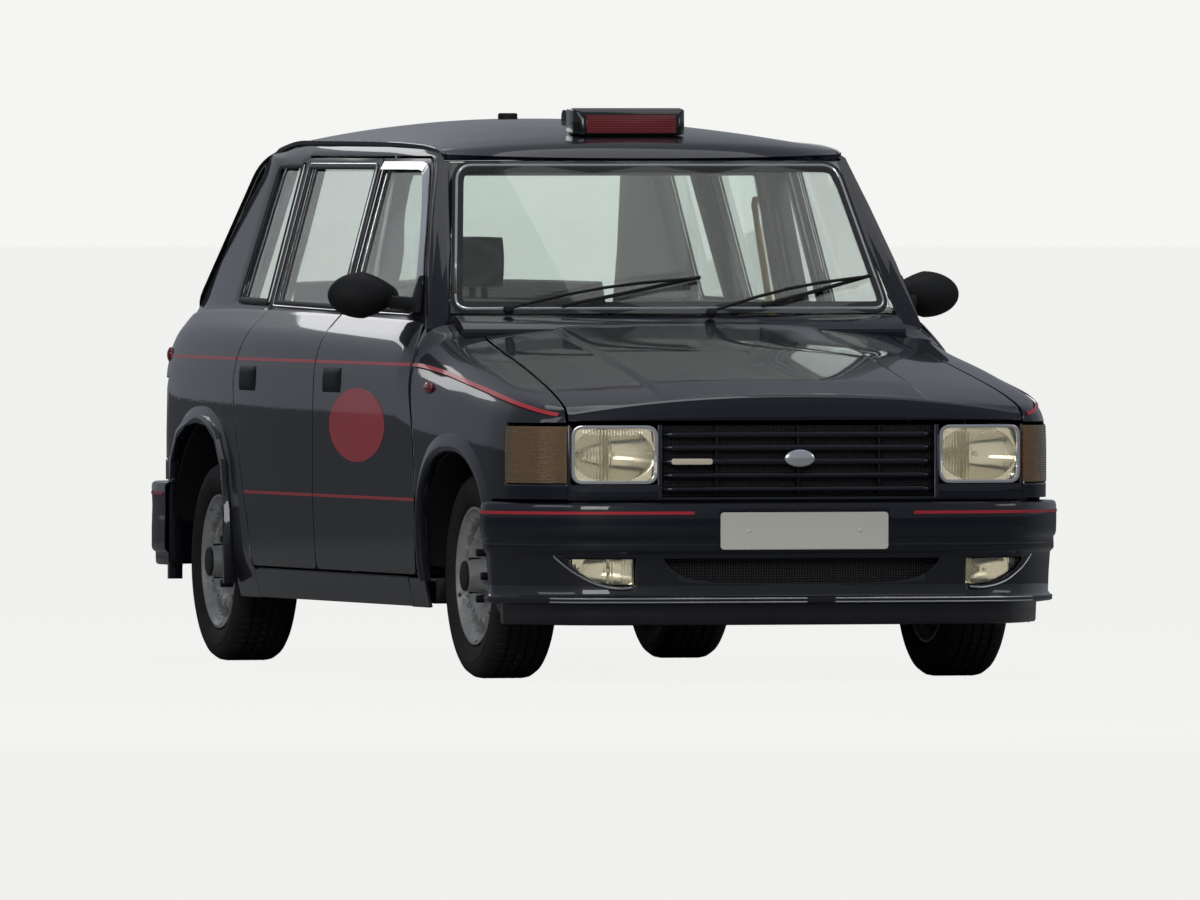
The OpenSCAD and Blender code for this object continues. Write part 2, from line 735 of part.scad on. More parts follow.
module chassis_frame() {
    color(black) {
        both() {
            difference() {
                span(rail_x_in, rail_x_out, 180, 4380, 212, 292);
                translate([0, rear_axle_at - 810 * ky - 2896, 0])
                    span(rail_x_in - 10, rail_x_out + 10, 3650, 3762, 258, 300);
            }
            span(rail_x_in, rail_x_out, 132, 260, 234.4, 480);
            span(rail_x_in, rail_x_out, 4300, 4380, 260, 420);
        }
        for (s = [560, 1180, 2260, 3180, 4160])
            span(-rail_x_in - 4, rail_x_in + 4, s, s + 70, 226, 280);
        for (s = [1180, 2260, 3180])
            span(-689.6, 689.6, s, s + 70, 232, 284);
        span(-rail_x_in - 4, rail_x_in + 4, 180, 230, 300, 470);
    }
}

module floor_pan() {
    color(black)
        difference() {
            union() {
                span(-696.6, 696.6, 1301, 3280, 292.4, 312);
                span(-519, 519, 3270, 3296, 292.4, 560);
                span(-519, 519, 3276, 4390, 540, 560);
                span(-130, 130, 1304, 1900, 312, 420);
            }
            span(-112, 112, 1200, 1882, 200, 402);
        }
}

module engine_block() {
    color(steel) {
        span(-170, 170, 300, 900, 330, 780);
        span(-110, 110, 900, 1860, 284.4, 396);
        span(-300, 300, 170, 215, 500, 740);
        span(-170, -40, 215, 304, 520, 700);
    }
}

module fuel_tank() {
    color(black)
        span(-300, 300, 4170, 4290, 280.4, 500);
}

module exhaust() {
    pipe_x = 210 * kx;
    color(steel) {
        translate([pipe_x, fy(4440), 200 * kz])
            rotate([90, 0, 0])
                cylinder(r = 18, h = (4440 - 1150) * ky);
        translate([pipe_x, fy(3120), 222 * kz])
            rotate([90, 0, 0])
                cylinder(r = 60, h = 720 * ky);
        for (s = [2275, 3195])
            span(204, 216, s, s + 30, 205, 226 - fit);
    }
}

module front_suspension() {
    tower = [[346, 404], [776, 844], [292.4, 470]];
    color(black) {
        translate([0, front_axle - 810 * ky, 0]) {
            span(-rail_x_in + fit, rail_x_in - fit, 770, 850, 226, 280);
            both() {
                span(tower[0][0], tower[0][1], tower[1][0], tower[1][1], tower[2][0], tower[2][1]);
                span(410.4, 648, 790, 830, 196, 222);
                span(404, 648, 792, 828, 412, 434);
                translate([470 * kx, fy(810), 222 * kz])
                    cylinder(r = 38, h = 190 * kz);
            }
        }
    }
}

knuckle_x = front_track / 2 - 22;

module knuckle_left() {
    color(steel)
        translate([knuckle_x, fy(0) + front_axle, tyre_radius]) {
            translate([0, 0, -118])
                cylinder(r = 20, h = 236);
            rotate([0, 90, 0])
                cylinder(r = stub_radius, h = 84);
            translate([4, 0, 0])
                rotate([0, 90, 0])
                    cylinder(r = 122, h = 14);
            translate([-20, -24, -24])
                cube([30, 48, 48]);
        }
}

module knuckle_right() {
    mirror([1, 0, 0])
        knuckle_left();
}

module rear_axle() {
    half = rear_track / 2;
    color(black)
        translate([0, fy(0) + rear_axle_at, tyre_radius]) {
            rotate([0, 90, 0])
                rotate_extrude()
                    polygon([[0, -half - 55], [stub_radius, -half - 55], [stub_radius, 25 - half],
                        [120, 25 - half], [120, 95 - half], [38, 95 - half], [38, -160], [84, -120],
                        [110, -56], [110, 56], [84, 120], [38, 160], [38, half - 95],
                        [120, half - 95], [120, half - 25], [stub_radius, half - 25],
                        [stub_radius, half + 55], [0, half + 55]]);
            both() {
                translate([440 * kx, -400, -44])
                    cube([50, 800, 20]);
                for (y = [-400, 330])
                    translate([(rail_x_out + fit) * kx, y, -60])
                        cube([70 * kx, 70, 44]);
            }
        }
}

// ---------- wheels ----------
bead = rim_radius - 12;
barrel = rim_radius - 26;
flange_half = 84;

module tyre() {
    half = tyre_width / 2;
    color(black)
        rotate([0, 90, 0])
            rotate_extrude($fn = 128)
                polygon([[bead + fit, -76], [rim_radius + 4, -77], [rim_radius + 14, -half + 8],
                    [rim_radius + 44, -half], [tyre_radius - 40, -half + 2],
                    [tyre_radius - 14, -half + 9], [tyre_radius - 3, -half + 24],
                    [tyre_radius, -half + 56], [tyre_radius, half - 56],
                    [tyre_radius - 3, half - 24], [tyre_radius - 14, half - 9],
                    [tyre_radius - 40, half - 2], [rim_radius + 44, half],
                    [rim_radius + 14, half - 8], [rim_radius + 4, 77], [bead + fit, 76],
                    [bead + fit, 52], [rim_radius + 14, 66], [tyre_radius - 34, 80],
                    [tyre_radius - 18, 62], [tyre_radius - 15, 20], [tyre_radius - 15, -20],
                    [tyre_radius - 18, -62], [tyre_radius - 34, -80], [rim_radius + 14, -66],
                    [bead + fit, -52]]);
}

slot_count = 10;
stud_count = 5;
stud_hole = 7;

module rim() {
    color(steel)
        rotate([0, 90, 0])
            difference() {
                rotate_extrude($fn = 128)
                    polygon([[rim_radius, 78], [rim_radius, flange_half],
                        [rim_radius - 6, flange_half], [rim_radius - 18, 70],
                        [barrel - 8, 62], [barrel - 12, 34], [160, 32], [150, 56], [138, 64],
                        [118, 62], [98, 46], [60, 46], [51, 58], [46, 112], [hub_bore, 112],
                        [hub_bore, 32], [98, 34], [120, 52], [138, 54], [148, 20], [barrel - 8, 10],
                        [barrel - 8, -58], [rim_radius - 18, -70], [rim_radius - 6, -flange_half],
                        [rim_radius, -flange_half], [rim_radius, -78], [bead, -77], [bead, -52],
                        [barrel, -38], [barrel, 30], [bead, 44], [bead, 77]]);
                for (i = [0:slot_count - 1])
                    rotate([0, 0, i * 360 / slot_count])
                        translate([140, 0, 0])
                            cylinder(r = 10, h = 120, $fn = 32);
                for (i = [0:stud_count - 1])
                    rotate([0, 0, (i + 0.5) * 360 / stud_count])
                        translate([nut_circle, 0, 0])
                            cylinder(r = stud_hole, h = 120, $fn = 32);
            }
}

module at_wheel(side, front) {
    track = front ? front_track : rear_track;
    translate([side * track / 2, fy(0) + (front ? front_axle : rear_axle_at), tyre_radius])
        rotate([0, 0, side > 0 ? 0 : 180])
            children();
}

module tyre_front_right() { at_wheel(-1, true) tyre(); }
module tyre_front_left() { at_wheel(1, true) tyre(); }
module tyre_rear_right() { at_wheel(-1, false) tyre(); }
module tyre_rear_left() { at_wheel(1, false) tyre(); }
module rim_front_right() { at_wheel(-1, true) rim(); }
module rim_front_left() { at_wheel(1, true) rim(); }
module rim_rear_right() { at_wheel(-1, false) rim(); }
module rim_rear_left() { at_wheel(1, false) rim(); }

// ---------- cabin ----------
module dashboard() {
    shape = side_poly([[1300.4, 700], [1300.4, 989.6], [1345.6, 989.6], [1400, 1010],
        [1560, 1000], [1640, 940], [1630, 760], [1560, 700]]);
    color(black) {
        side_prism(shape, -660 * kx, 660 * kx);
        span(-380, -240, 1560, 1640, 800, 948);
    }
}

wheel_hub = [-370, 1790, 905];
column_rake = 62;

module steering_wheel() {
    color(black)
        translate(pt(wheel_hub[0], wheel_hub[1], wheel_hub[2]))
            rotate([-(90 - column_rake) - 28, 0, 0]) {
                rotate_extrude($fn = 96)
                    translate([steering_radius, 0])
                        circle(r = 14, $fn = 32);
                cylinder(r = 46, h = 40, center = true);
                for (a = [-90, 30, 150])
                    rotate([0, 0, a])
                        translate([0, -16, -7])
                            cube([steering_radius, 32, 14]);
                translate([0, 0, -164.2])
                    cylinder(r = 24, h = 164.2);
            }
}

module driver_seat() {
    cushion = side_poly([[1900, 480], [1900, 570], [1930, 590], [2340, 566], [2380, 540],
        [2380, 480]]);
    back = side_poly([[2290, 600], [2300, 592], [2396, 592], [2412, 1100], [2390, 1120],
        [2340, 1112]]);
    head = side_poly([[2346, 1150], [2344, 1290], [2370, 1310], [2412, 1300], [2414, 1150]]);
    color(black) {
        side_prism(cushion, -610 * kx, -130 * kx);
        side_prism(back, -610 * kx, -130 * kx);
        side_prism(head, -490 * kx, -250 * kx);
        span(-560, -180, 1940, 2340, 312.4, 480);
        span(-440, -420, 2364, 2376, 1100, 1160);
        span(-320, -300, 2364, 2376, 1100, 1160);
        span(-400, -340, 2320, 2380, 540, 600);
    }
}

module partition() {
    wall = [[-690 * kx, 312.4 * kz], [690 * kx, 312.4 * kz], [690 * kx, 1020 * kz],
        [592 * kx, 1530 * kz], [-592 * kx, 1530 * kz], [-690 * kx, 1020 * kz]];
    hole = [[-640 * kx, 1060 * kz], [640 * kx, 1060 * kz], [562 * kx, 1490 * kz],
        [-562 * kx, 1490 * kz]];
    color(black)
        difference() {
            front_prism(wall, 2424, 2452);
            front_prism(hole, 2400, 2500);
        }
}

module partition_glass() {
    pane = [[-639.6 * kx, 1060.4 * kz], [639.6 * kx, 1060.4 * kz], [561.6 * kx, 1489.6 * kz],
        [-561.6 * kx, 1489.6 * kz]];
    color(clear)
        front_prism(pane, 2435, 2441);
}

module tip_up_seats() {
    seat = side_poly([[2452.4, 560], [2452.4, 1000], [2490, 1010], [2520, 980], [2530, 600],
        [2500, 560]]);
    color(black)
        for (x = [-600, 130])
            side_prism(seat, x * kx, (x + 470) * kx);
}

module rear_seat() {
    half = bench_width / 2;
    cushion = side_poly([[3180, 560.4], [3170, 680], [3200, 712], [3690, 690], [3700, 560.4]]);
    back = side_poly([[3700.4, 560.4], [3770, 560.4], [3930, 1150], [3895, 1176], [3830, 1166],
        [3660, 722], [3692, 702]]);
    color(black) {
        side_prism(cushion, -half, half);
        side_prism(back, -half, half);
    }
}

chassis_frame();
floor_pan();
side_frame_right();
side_frame_left();
roof_panel();
scuttle_panel();
front_wings();
nose_panel();
grille();
headlamps();
indicator_lamps();
front_bumper();
rear_bumper();
rear_panel();
tail_lamps();
windscreen();
rear_screen();
quarter_glass();
bonnet();
boot_lid();
front_door_right();
front_door_left();
rear_door_right();
rear_door_left();
front_door_glass_right();
front_door_glass_left();
rear_door_glass_right();
rear_door_glass_left();
mirror_right();
mirror_left();
roof_sign();
wipers();
dashboard();
steering_wheel();
driver_seat();
partition();
partition_glass();
tip_up_seats();
rear_seat();
engine_block();
fuel_tank();
exhaust();
front_suspension();
rear_axle();
knuckle_right();
knuckle_left();
tyre_front_right();
tyre_front_left();
tyre_rear_right();
tyre_rear_left();
rim_front_right();
rim_front_left();
rim_rear_right();
rim_rear_left();
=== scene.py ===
import math
import bpy
from mathutils import Matrix, Vector


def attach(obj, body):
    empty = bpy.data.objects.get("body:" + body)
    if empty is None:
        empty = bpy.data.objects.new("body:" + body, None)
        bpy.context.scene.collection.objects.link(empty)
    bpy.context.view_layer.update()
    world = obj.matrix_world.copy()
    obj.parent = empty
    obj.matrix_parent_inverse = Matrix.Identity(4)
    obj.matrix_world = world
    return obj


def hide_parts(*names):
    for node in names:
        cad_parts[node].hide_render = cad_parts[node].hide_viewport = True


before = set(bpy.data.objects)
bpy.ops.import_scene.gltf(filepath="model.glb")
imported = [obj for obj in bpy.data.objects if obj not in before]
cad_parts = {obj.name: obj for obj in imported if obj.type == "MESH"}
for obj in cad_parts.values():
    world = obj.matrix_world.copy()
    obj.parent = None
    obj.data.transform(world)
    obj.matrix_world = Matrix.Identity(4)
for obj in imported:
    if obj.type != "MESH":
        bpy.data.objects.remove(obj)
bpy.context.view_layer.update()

# ---------- studio: the view, the floor and the lights ----------
# A pale floor that runs out to a pale sky, with large soft lamps overhead and
# to both sides, so that the dark paint carries long soft highlights.
HALF_LENGTH = 2252.5


def at(x, s, z):
    """Millimetres across, behind the nose and above the ground, as a place in metres."""
    return Vector((x / 1000, (s - HALF_LENGTH) / 1000, z / 1000))


def tone(code):
    """An sRGB hex colour as linear red, green, blue and alpha."""
    parts = [int(code[i:i + 2], 16) / 255 for i in (0, 2, 4)]
    return [p / 12.92 if p < 0.04045 else ((p + 0.055) / 1.055) ** 2.4 for p in parts] + [1]


def add_node(tree, kind, inputs=None, **settings):
    """Adds one shader node with its settings and its links."""
    made = tree.nodes.new("ShaderNode" + kind)
    for key, value in settings.items():
        setattr(made, key, value)
    for key, value in (inputs or {}).items():
        if isinstance(value, bpy.types.NodeSocket):
            tree.links.new(value, made.inputs[key])
        else:
            made.inputs[key].default_value = value
    return made


def new_material(name, colour, roughness, **sockets):
    """A material with its own shader, and the piece's own coordinates ready for patterns."""
    material = bpy.data.materials.new(name)
    material.use_nodes = True
    tree = material.node_tree
    shader = tree.nodes["Principled BSDF"]
    shader.inputs["Base Color"].default_value = tone(colour)
    shader.inputs["Roughness"].default_value = roughness
    for key, value in sockets.items():
        shader.inputs[key.replace("_", " ")].default_value = value
    place = add_node(tree, "TexCoord").outputs["Object"]
    return material, tree, shader, place


def mixed(tree, factor, first, second):
    """The colour between two colours or sockets, by a factor."""
    made = tree.nodes.new("ShaderNodeMix")
    made.data_type = "RGBA"
    for key, value in ((0, factor), (6, first), (7, second)):
        if isinstance(value, bpy.types.NodeSocket):
            tree.links.new(value, made.inputs[key])
        else:
            made.inputs[key].default_value = value
    return made.outputs[2]


def roughened(tree, shader, place, scale, depth, strength=1.0, detail=3.0):
    """Small unevenness: scale in bumps per metre, depth in metres."""
    noise = add_node(tree, "TexNoise", {"Vector": place, "Scale": scale, "Detail": detail})
    bump = add_node(tree, "Bump", {"Height": noise.outputs["Fac"], "Distance": depth,
                                   "Strength": strength})
    tree.links.new(bump.outputs["Normal"], shader.inputs["Normal"])
    return noise.outputs["Fac"]


camera = bpy.data.objects.new("camera", bpy.data.cameras.new("camera"))
bpy.context.scene.collection.objects.link(camera)
camera.location = (-22.766, -78.947, 1.606)
view_line = Vector((math.sin(math.radians(16.1)), math.cos(math.radians(16.1)), -0.01151))
camera.rotation_euler = view_line.to_track_quat("-Z", "Y").to_euler()
camera.data.lens = 813.6
camera.data.sensor_width = 36
camera.data.clip_end = 400
bpy.context.scene.camera = camera
bpy.context.scene.view_settings.view_transform = "Standard"

world = bpy.data.worlds.new("studio air")
bpy.context.scene.world = world
world.use_nodes = True
tree = world.node_tree
ray = add_node(tree, "LightPath")
seen = add_node(tree, "Math", {0: ray.outputs["Is Camera Ray"], 1: ray.outputs["Is Transmission Ray"]},
                operation="MAXIMUM")
air = tree.nodes["Background"]
tree.links.new(mixed(tree, seen.outputs["Value"], tone("7C8087"), tone("F5F5F3")), air.inputs["Color"])
air.inputs["Strength"].default_value = 1.0

bpy.ops.object.select_all(action="DESELECT")
bpy.ops.mesh.primitive_plane_add(size=900, location=(0, 0, 0))
floor = bpy.context.object
floor.name = "floor"
floor_paint, tree, shader, place = new_material("pale studio floor", "8A8A88", 0.95,
                                                Specular_IOR_Level=0.0)
roughened(tree, shader, place, 30, 0.0006)
# the floor shows as pale as the air behind it, and keeps the shadow of the car
ray = add_node(tree, "LightPath")
seen = add_node(tree, "Math", {0: ray.outputs["Is Camera Ray"], 1: ray.outputs["Is Transmission Ray"]},
                operation="MAXIMUM")
tree.links.new(mixed(tree, seen.outputs["Value"], tone("8A8A88"), tone("3C3C3B")),
               shader.inputs["Base Color"])
glow = add_node(tree, "Math", {0: seen.outputs["Value"], 1: 0.95}, operation="MULTIPLY")
tree.links.new(glow.outputs["Value"], shader.inputs["Emission Strength"])
shader.inputs["Emission Color"].default_value = tone("F5F5F3")
floor.data.materials.append(floor_paint)

# Lamps: [name, place, target, width, depth, watts]
for name, spot, target, wide, deep, watts in (
        ("lamp above", (0.5, -0.5, 5.2), (0, 0, 0.8), 3.2, 6.5, 60),
        ("lamp left", (-6.5, -3.5, 3.4), (0, 0, 0.7), 5.0, 1.6, 45),
        ("lamp right", (6.0, -5.0, 3.0), (0, -1.5, 0.7), 3.0, 1.4, 30),
        ("lamp behind", (-1.0, 7.5, 3.8), (0, 1.5, 0.7), 5.0, 1.6, 40),
        ("lamp front", (-4.0, -9.5, 3.6), (0, -1.2, 0.6), 4.5, 2.2, 170)):
    lamp = bpy.data.objects.new(name, bpy.data.lights.new(name, "AREA"))
    bpy.context.scene.collection.objects.link(lamp)
    lamp.data.shape = "RECTANGLE"
    lamp.data.size = wide
    lamp.data.size_y = deep
    lamp.data.energy = watts
    lamp.location = spot
    lamp.rotation_euler = (Vector(target) - Vector(spot)).to_track_quat("-Z", "Y").to_euler()

# ---------- front wings ----------
# Pressed steel outer panels, one each side, sprayed very dark blue with a clear
# gloss coat; a rolled lip runs round each wheel opening, and a black liner is
# bolted inside it.
paint, tree, shader, place = new_material("sprayed coach enamel", "060A1A", 0.4,
                                          Specular_IOR_Level=0.25, Coat_Weight=1.0,
                                          Coat_Roughness=0.02)
# road film: a thin brown grey dust that is heavier towards the sills
split = add_node(tree, "SeparateXYZ", {"Vector": place})
low = add_node(tree, "MapRange", {"Value": split.outputs["Z"], "From Min": 0.42, "From Max": 0.16,
                                  "To Min": 0.0, "To Max": 0.3})
grime = add_node(tree, "TexNoise", {"Vector": place, "Scale": 9.0, "Detail": 6.0})
film = add_node(tree, "Math", {0: low.outputs["Result"], 1: grime.outputs["Fac"]},
                operation="MULTIPLY")
tree.links.new(mixed(tree, film.outputs["Value"], tone("060A1A"), tone("4A4640")),
               shader.inputs["Base Color"])
# sprayed enamel has a faint orange peel, drawn at 12 mm so that it shows
peel = add_node(tree, "TexNoise", {"Vector": place, "Scale": 80.0, "Detail": 1.0})
bump = add_node(tree, "Bump", {"Height": peel.outputs["Fac"], "Distance": 0.00012,
                               "Strength": 0.5})
tree.links.new(bump.outputs["Normal"], shader.inputs["Coat Normal"])


def smooth_curve(rows):
    """A smooth curve that never overshoots the rows of (place, value) it passes through."""
    xs = [r[0] for r in rows]
    ys = [r[1] for r in rows]
    last = len(xs) - 1
    slope = [(ys[i + 1] - ys[i]) / (xs[i + 1] - xs[i]) for i in range(last)]
    tangent = [slope[0]]
    for i in range(1, last):
        same = slope[i - 1] * slope[i] > 0
        tangent.append(2 * slope[i - 1] * slope[i] / (slope[i - 1] + slope[i]) if same else 0)
    tangent.append(slope[-1])

    def value(x):
        x = min(max(x, xs[0]), xs[-1])
        i = max(k for k in range(last) if xs[k] <= x or k == 0)
        step = xs[i + 1] - xs[i]
        t = (x - xs[i]) / step
        return (ys[i] * (1 + 2 * t) * (1 - t) ** 2 + tangent[i] * step * t * (1 - t) ** 2
                + ys[i + 1] * t * t * (3 - 2 * t) + tangent[i + 1] * step * t * t * (t - 1))
    return value


# Body lines in millimetres: [behind the nose, value]
half_width = smooth_curve([(96, 700), (132, 752), (205, 800), (305, 835), (450, 852), (700, 861),
                           (1000, 867), (1400, 868), (2600, 868), (3000, 864), (3350, 852),
                           (3700, 834), (4050, 808), (4280, 782), (4420, 752), (4456, 700)])
section = smooth_curve([(205, 832), (350, 860), (550, 868), (750, 868), (880, 864), (950, 851),
                        (1000, 830), (1040, 797), (1060, 778)])
belt = smooth_curve([(96, 800), (305, 843), (700, 912), (1250, 998), (1330, 1028), (1400, 1052),
                     (1530, 1060), (3570, 1082), (4050, 1076), (4280, 1062), (4420, 1030),
                     (4456, 1012)])
rounding = smooth_curve([(96, 0.3), (305, 0.55), (700, 0.85), (1250, 1), (4500, 1)])
rail = smooth_curve([(1330, 668), (1700, 641), (2300, 648), (3000, 645), (3400, 628), (3800, 596),
                     (4280, 560)])
gutter = smooth_curve([(1330, 1557), (1712, 1557), (1780, 1569), (1950, 1582), (2300, 1590),
                       (3300, 1594), (3680, 1572), (3775, 1557), (4280, 1557)])
nose = smooth_curve([(0, 55), (250, 59), (450, 68), (620, 82), (700, 96)])
FRAME_TOP = 1545
rise = smooth_curve([(96, 50), (1250, 44), (1400, 30)])


def flank(s, drawn):
    """A point of the body side: drawn height 205 is the sill and 1060 the shoulder."""
    high = belt(s)
    z = drawn if drawn < 600 else 600 + (drawn - 600) * (high - 600) / 460
    wide = section(drawn)
    if drawn > 750:
        wide = 868 - rounding(s) * (868 - wide)
    return Vector((half_width(s) * wide / 868, s, z))


def flank_at(s, z):
    """The point of the body side at a real height."""
    high = belt(s)
    return flank(s, z if z < 600 else min(600 + (z - 600) * 460 / (high - 600), 1060))


def top_height(s, x):
    """The height of the wing's or bonnet's crowned top."""
    shoulder = flank(s, 1060).x
    return belt(s) + rise(s) * (1 - min(abs(x) / shoulder, 1) ** 2.2)


def apply_all(piece):
    """Applies the piece's modifiers in their order."""
    bpy.ops.object.select_all(action="DESELECT")
    bpy.context.view_layer.objects.active = piece
    piece.select_set(True)
    for modifier in list(piece.modifiers):
        bpy.ops.object.modifier_apply(modifier=modifier.name)
    return piece


def pressed(name, place, across, up, depth):
    """A pressed panel: a grid laid on place(u, v), given its thickness inwards."""
    bpy.ops.object.select_all(action="DESELECT")
    bpy.ops.mesh.primitive_grid_add(x_subdivisions=across, y_subdivisions=up, size=1)
    piece = bpy.context.object
    piece.name = name
    for point in piece.data.vertices:
        point.co = at(*place(min(max(point.co.x + 0.5, 0), 1), min(max(point.co.y + 0.5, 0), 1)))
    if depth:
        wall = piece.modifiers.new("wall", "SOLIDIFY")
        wall.thickness = depth / 1000
        wall.offset = -1
        apply_all(piece)
    return piece


def block(rows, low, high, axis="x"):
    """A straight block with the given outline, from low to high along one axis, to cut with."""
    bpy.ops.object.select_all(action="DESELECT")
    bpy.ops.mesh.primitive_circle_add(vertices=len(rows), fill_type="NGON")
    piece = bpy.context.object
    for point, row in zip(piece.data.vertices, rows):
        a, b = row
        point.co = {"x": at(low, a, b), "s": at(a, low, b), "z": at(a, b, low)}[axis]
    step = at(0, HALF_LENGTH, 0) + Vector([(high - low) / 1000 * (axis == k) for k in "xsz"])
    bpy.ops.object.mode_set(mode="EDIT")
    bpy.ops.mesh.select_all(action="SELECT")
    bpy.ops.mesh.extrude_region_move(TRANSFORM_OT_translate={"value": step})
    bpy.ops.mesh.select_all(action="SELECT")
    bpy.ops.mesh.normals_make_consistent(inside=False)
    bpy.ops.object.mode_set(mode="OBJECT")
    return piece


def box_rows(a0, a1, b0, b1, radius=0, steps=5):
    """A rectangle as outline rows, with rounded corners if a radius is given."""
    return rounded([(a0, b0), (a1, b0), (a1, b1), (a0, b1)], radius, steps)


def rounded(rows, radius, steps=5):
    """The outline with each corner turned into an arc."""
    if not radius:
        return rows
    out = []
    count = len(rows)
    for i in range(count):
        here = Vector(rows[i])
        back = Vector(rows[i - 1]) - here
        on = Vector(rows[(i + 1) % count]) - here
        reach = min(radius, back.length * 0.45, on.length * 0.45)
        start = here + back.normalized() * reach
        end = here + on.normalized() * reach
        for k in range(steps + 1):
            t = k / steps
            out.append(tuple(start * (1 - t) ** 2 + here * 2 * t * (1 - t) + end * t * t))
    return out


def grown(rows, reach):
    """The outline moved outwards, or inwards for a negative reach."""
    out = []
    count = len(rows)
    for i in range(count):
        here = Vector(rows[i])
        u = (here - Vector(rows[i - 1])).normalized()
        v = (Vector(rows[(i + 1) % count]) - here).normalized()
        a = Vector((u.y, -u.x))
        b = Vector((v.y, -v.x))
        out.append(tuple(here + reach * (a + b) / (1 + a.dot(b))))
    return out


def threaded(rows, steps=8):
    """A smooth line through all the rows."""
    pts = [Vector(r) for r in rows]
    out = []
    for i in range(len(pts) - 1):
        a, b = pts[max(i - 1, 0)], pts[i]
        c, d = pts[i + 1], pts[min(i + 2, len(pts) - 1)]
        for k in range(steps):
            t = k / steps
            out.append(0.5 * (2 * b + (c - a) * t + (2 * a - 5 * b + 4 * c - d) * t * t
                              + (3 * b - a - 3 * c + d) * t ** 3))
    return [tuple(p) for p in out + [pts[-1]]]


def cut(piece, tool, way="DIFFERENCE"):
    """Cuts a piece with a block, or keeps what lies inside the block, and clears the block away."""
    made = piece.modifiers.new("cut", "BOOLEAN")
    made.operation = way
    made.object = tool
    made.solver = "EXACT"
    apply_all(piece)
    bpy.data.objects.remove(tool)
    return piece


def softened(piece, width, segments=2, angle=35):
    """Rolled edges: a bevel in millimetres on every edge sharper than the angle."""
    edge = piece.modifiers.new("edge", "BEVEL")
    edge.width = width / 1000
    edge.segments = segments
    edge.limit_method = "ANGLE"
    edge.angle_limit = math.radians(angle)
    apply_all(piece)
    return smooth(piece, angle)


def merged(piece, threshold, outwards=False):
    """Closes seams and poles: points nearer than the threshold in metres become one."""
    bpy.ops.object.mode_set(mode="EDIT")
    bpy.ops.mesh.select_all(action="SELECT")
    bpy.ops.mesh.remove_doubles(threshold=threshold)
    if outwards:
        bpy.ops.mesh.normals_make_consistent(inside=False)
    bpy.ops.object.mode_set(mode="OBJECT")
    return piece


def smooth(piece, angle=35):
    """Smooth shading, with every edge sharper than the angle left crisp."""
    bpy.ops.object.select_all(action="DESELECT")
    bpy.context.view_layer.objects.active = piece
    piece.select_set(True)
    bpy.ops.object.shade_smooth_by_angle(angle=math.radians(angle))
    return piece


def opposite(piece, name):
    """The same piece for the other side of the car."""
    other = piece.copy()
    other.data = piece.data.copy()
    other.name = name
    bpy.context.scene.collection.objects.link(other)
    other.data.transform(Matrix.Scale(-1, 4, (1, 0, 0)))
    other.data.flip_normals()
    return other


def joined(name, pieces):
    """Several meshes as one piece."""
    bpy.ops.object.select_all(action="DESELECT")
    for piece in pieces:
        piece.select_set(True)
    bpy.context.view_layer.objects.active = pieces[0]
    bpy.ops.object.join()
    pieces[0].name = name
    return pieces[0]


def finished(piece, body, material, *nodes):
    """Gives a piece its material, its body and the nodes it stands for."""
    if material:
        piece.data.materials.clear()
        piece.data.materials.append(material)
    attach(piece, body)
    if nodes:
        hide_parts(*nodes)
    return piece


def paired(piece, body, material, *nodes):
    """Finishes a left piece and makes the right one, which rides with the body of its own side."""
    name = piece.name
    other = opposite(piece, name.replace("left", "right") if "left" in name else name + "_right")
    finished(other, body.replace("left", "right"), material)
    return finished(piece, body, material, *nodes)


WHEELS_AT = {"front": 810, "rear": 3706}
HUB_HEIGHT = 305
ARCHES = {
    "front": threaded([(-370, -200), (-369, -20), (-366, 90), (-352, 180), (-310, 262), (-230, 325),
                       (-125, 362), (0, 371), (110, 360), (204, 325), (272, 262), (306, 180),
                       (316, 90), (317, -20), (317, -200)], 5),
    "rear": threaded([(-408, -200), (-404, 0), (-398, 160), (-358, 290), (-268, 375), (-140, 418),
                      (0, 427), (160, 416), (300, 376), (386, 300), (412, 190), (414, 60),
                      (414, -200)], 5)}


def arch_outline(end):
    """A wheel opening as (s, z) rows."""
    return [(WHEELS_AT[end] + a, HUB_HEIGHT + b) for a, b in ARCHES[end]]


def arch_lip(end, first, last):
    """The rolled edge of a wheel opening, following the body side."""
    line = arch_outline(end)[first:last]
    roll = [(-2, -22), (-3, -4), (-1, 4), (5, 9), (14, 10.5), (26, 8), (38, 4), (48, 1.5), (54, -1)]

    def place(u, v):
        i = u * (len(line) - 1)
        k = min(int(i), len(line) - 2)
        here = Vector(line[k]).lerp(Vector(line[k + 1]), i - k)
        before = Vector(line[max(k - 1, 0)])
        after = Vector(line[min(k + 2, len(line) - 1)])
        along = (after - before).normalized()
        j = min(int(v * (len(roll) - 1)), len(roll) - 2)
        out, lift = Vector(roll[j]).lerp(Vector(roll[j + 1]), v * (len(roll) - 1) - j)
        spot = here + Vector((-along.y, along.x)) * out
        return Vector((flank_at(spot.x, max(spot.y, 205)).x + lift, spot.x, spot.y))
    return pressed("lip", place, 3 * len(line), len(roll) - 1, 2)


def smoothed_path(points, rounds):
    """The path with its corners eased by so many rounds of averaging."""
    for _ in range(rounds):
        points = [points[0]] + [(points[i - 1] + points[i] * 2 + points[i + 1]) / 4
                                for i in range(1, len(points) - 1)] + [points[-1]]
    return points


wing_paths = {}


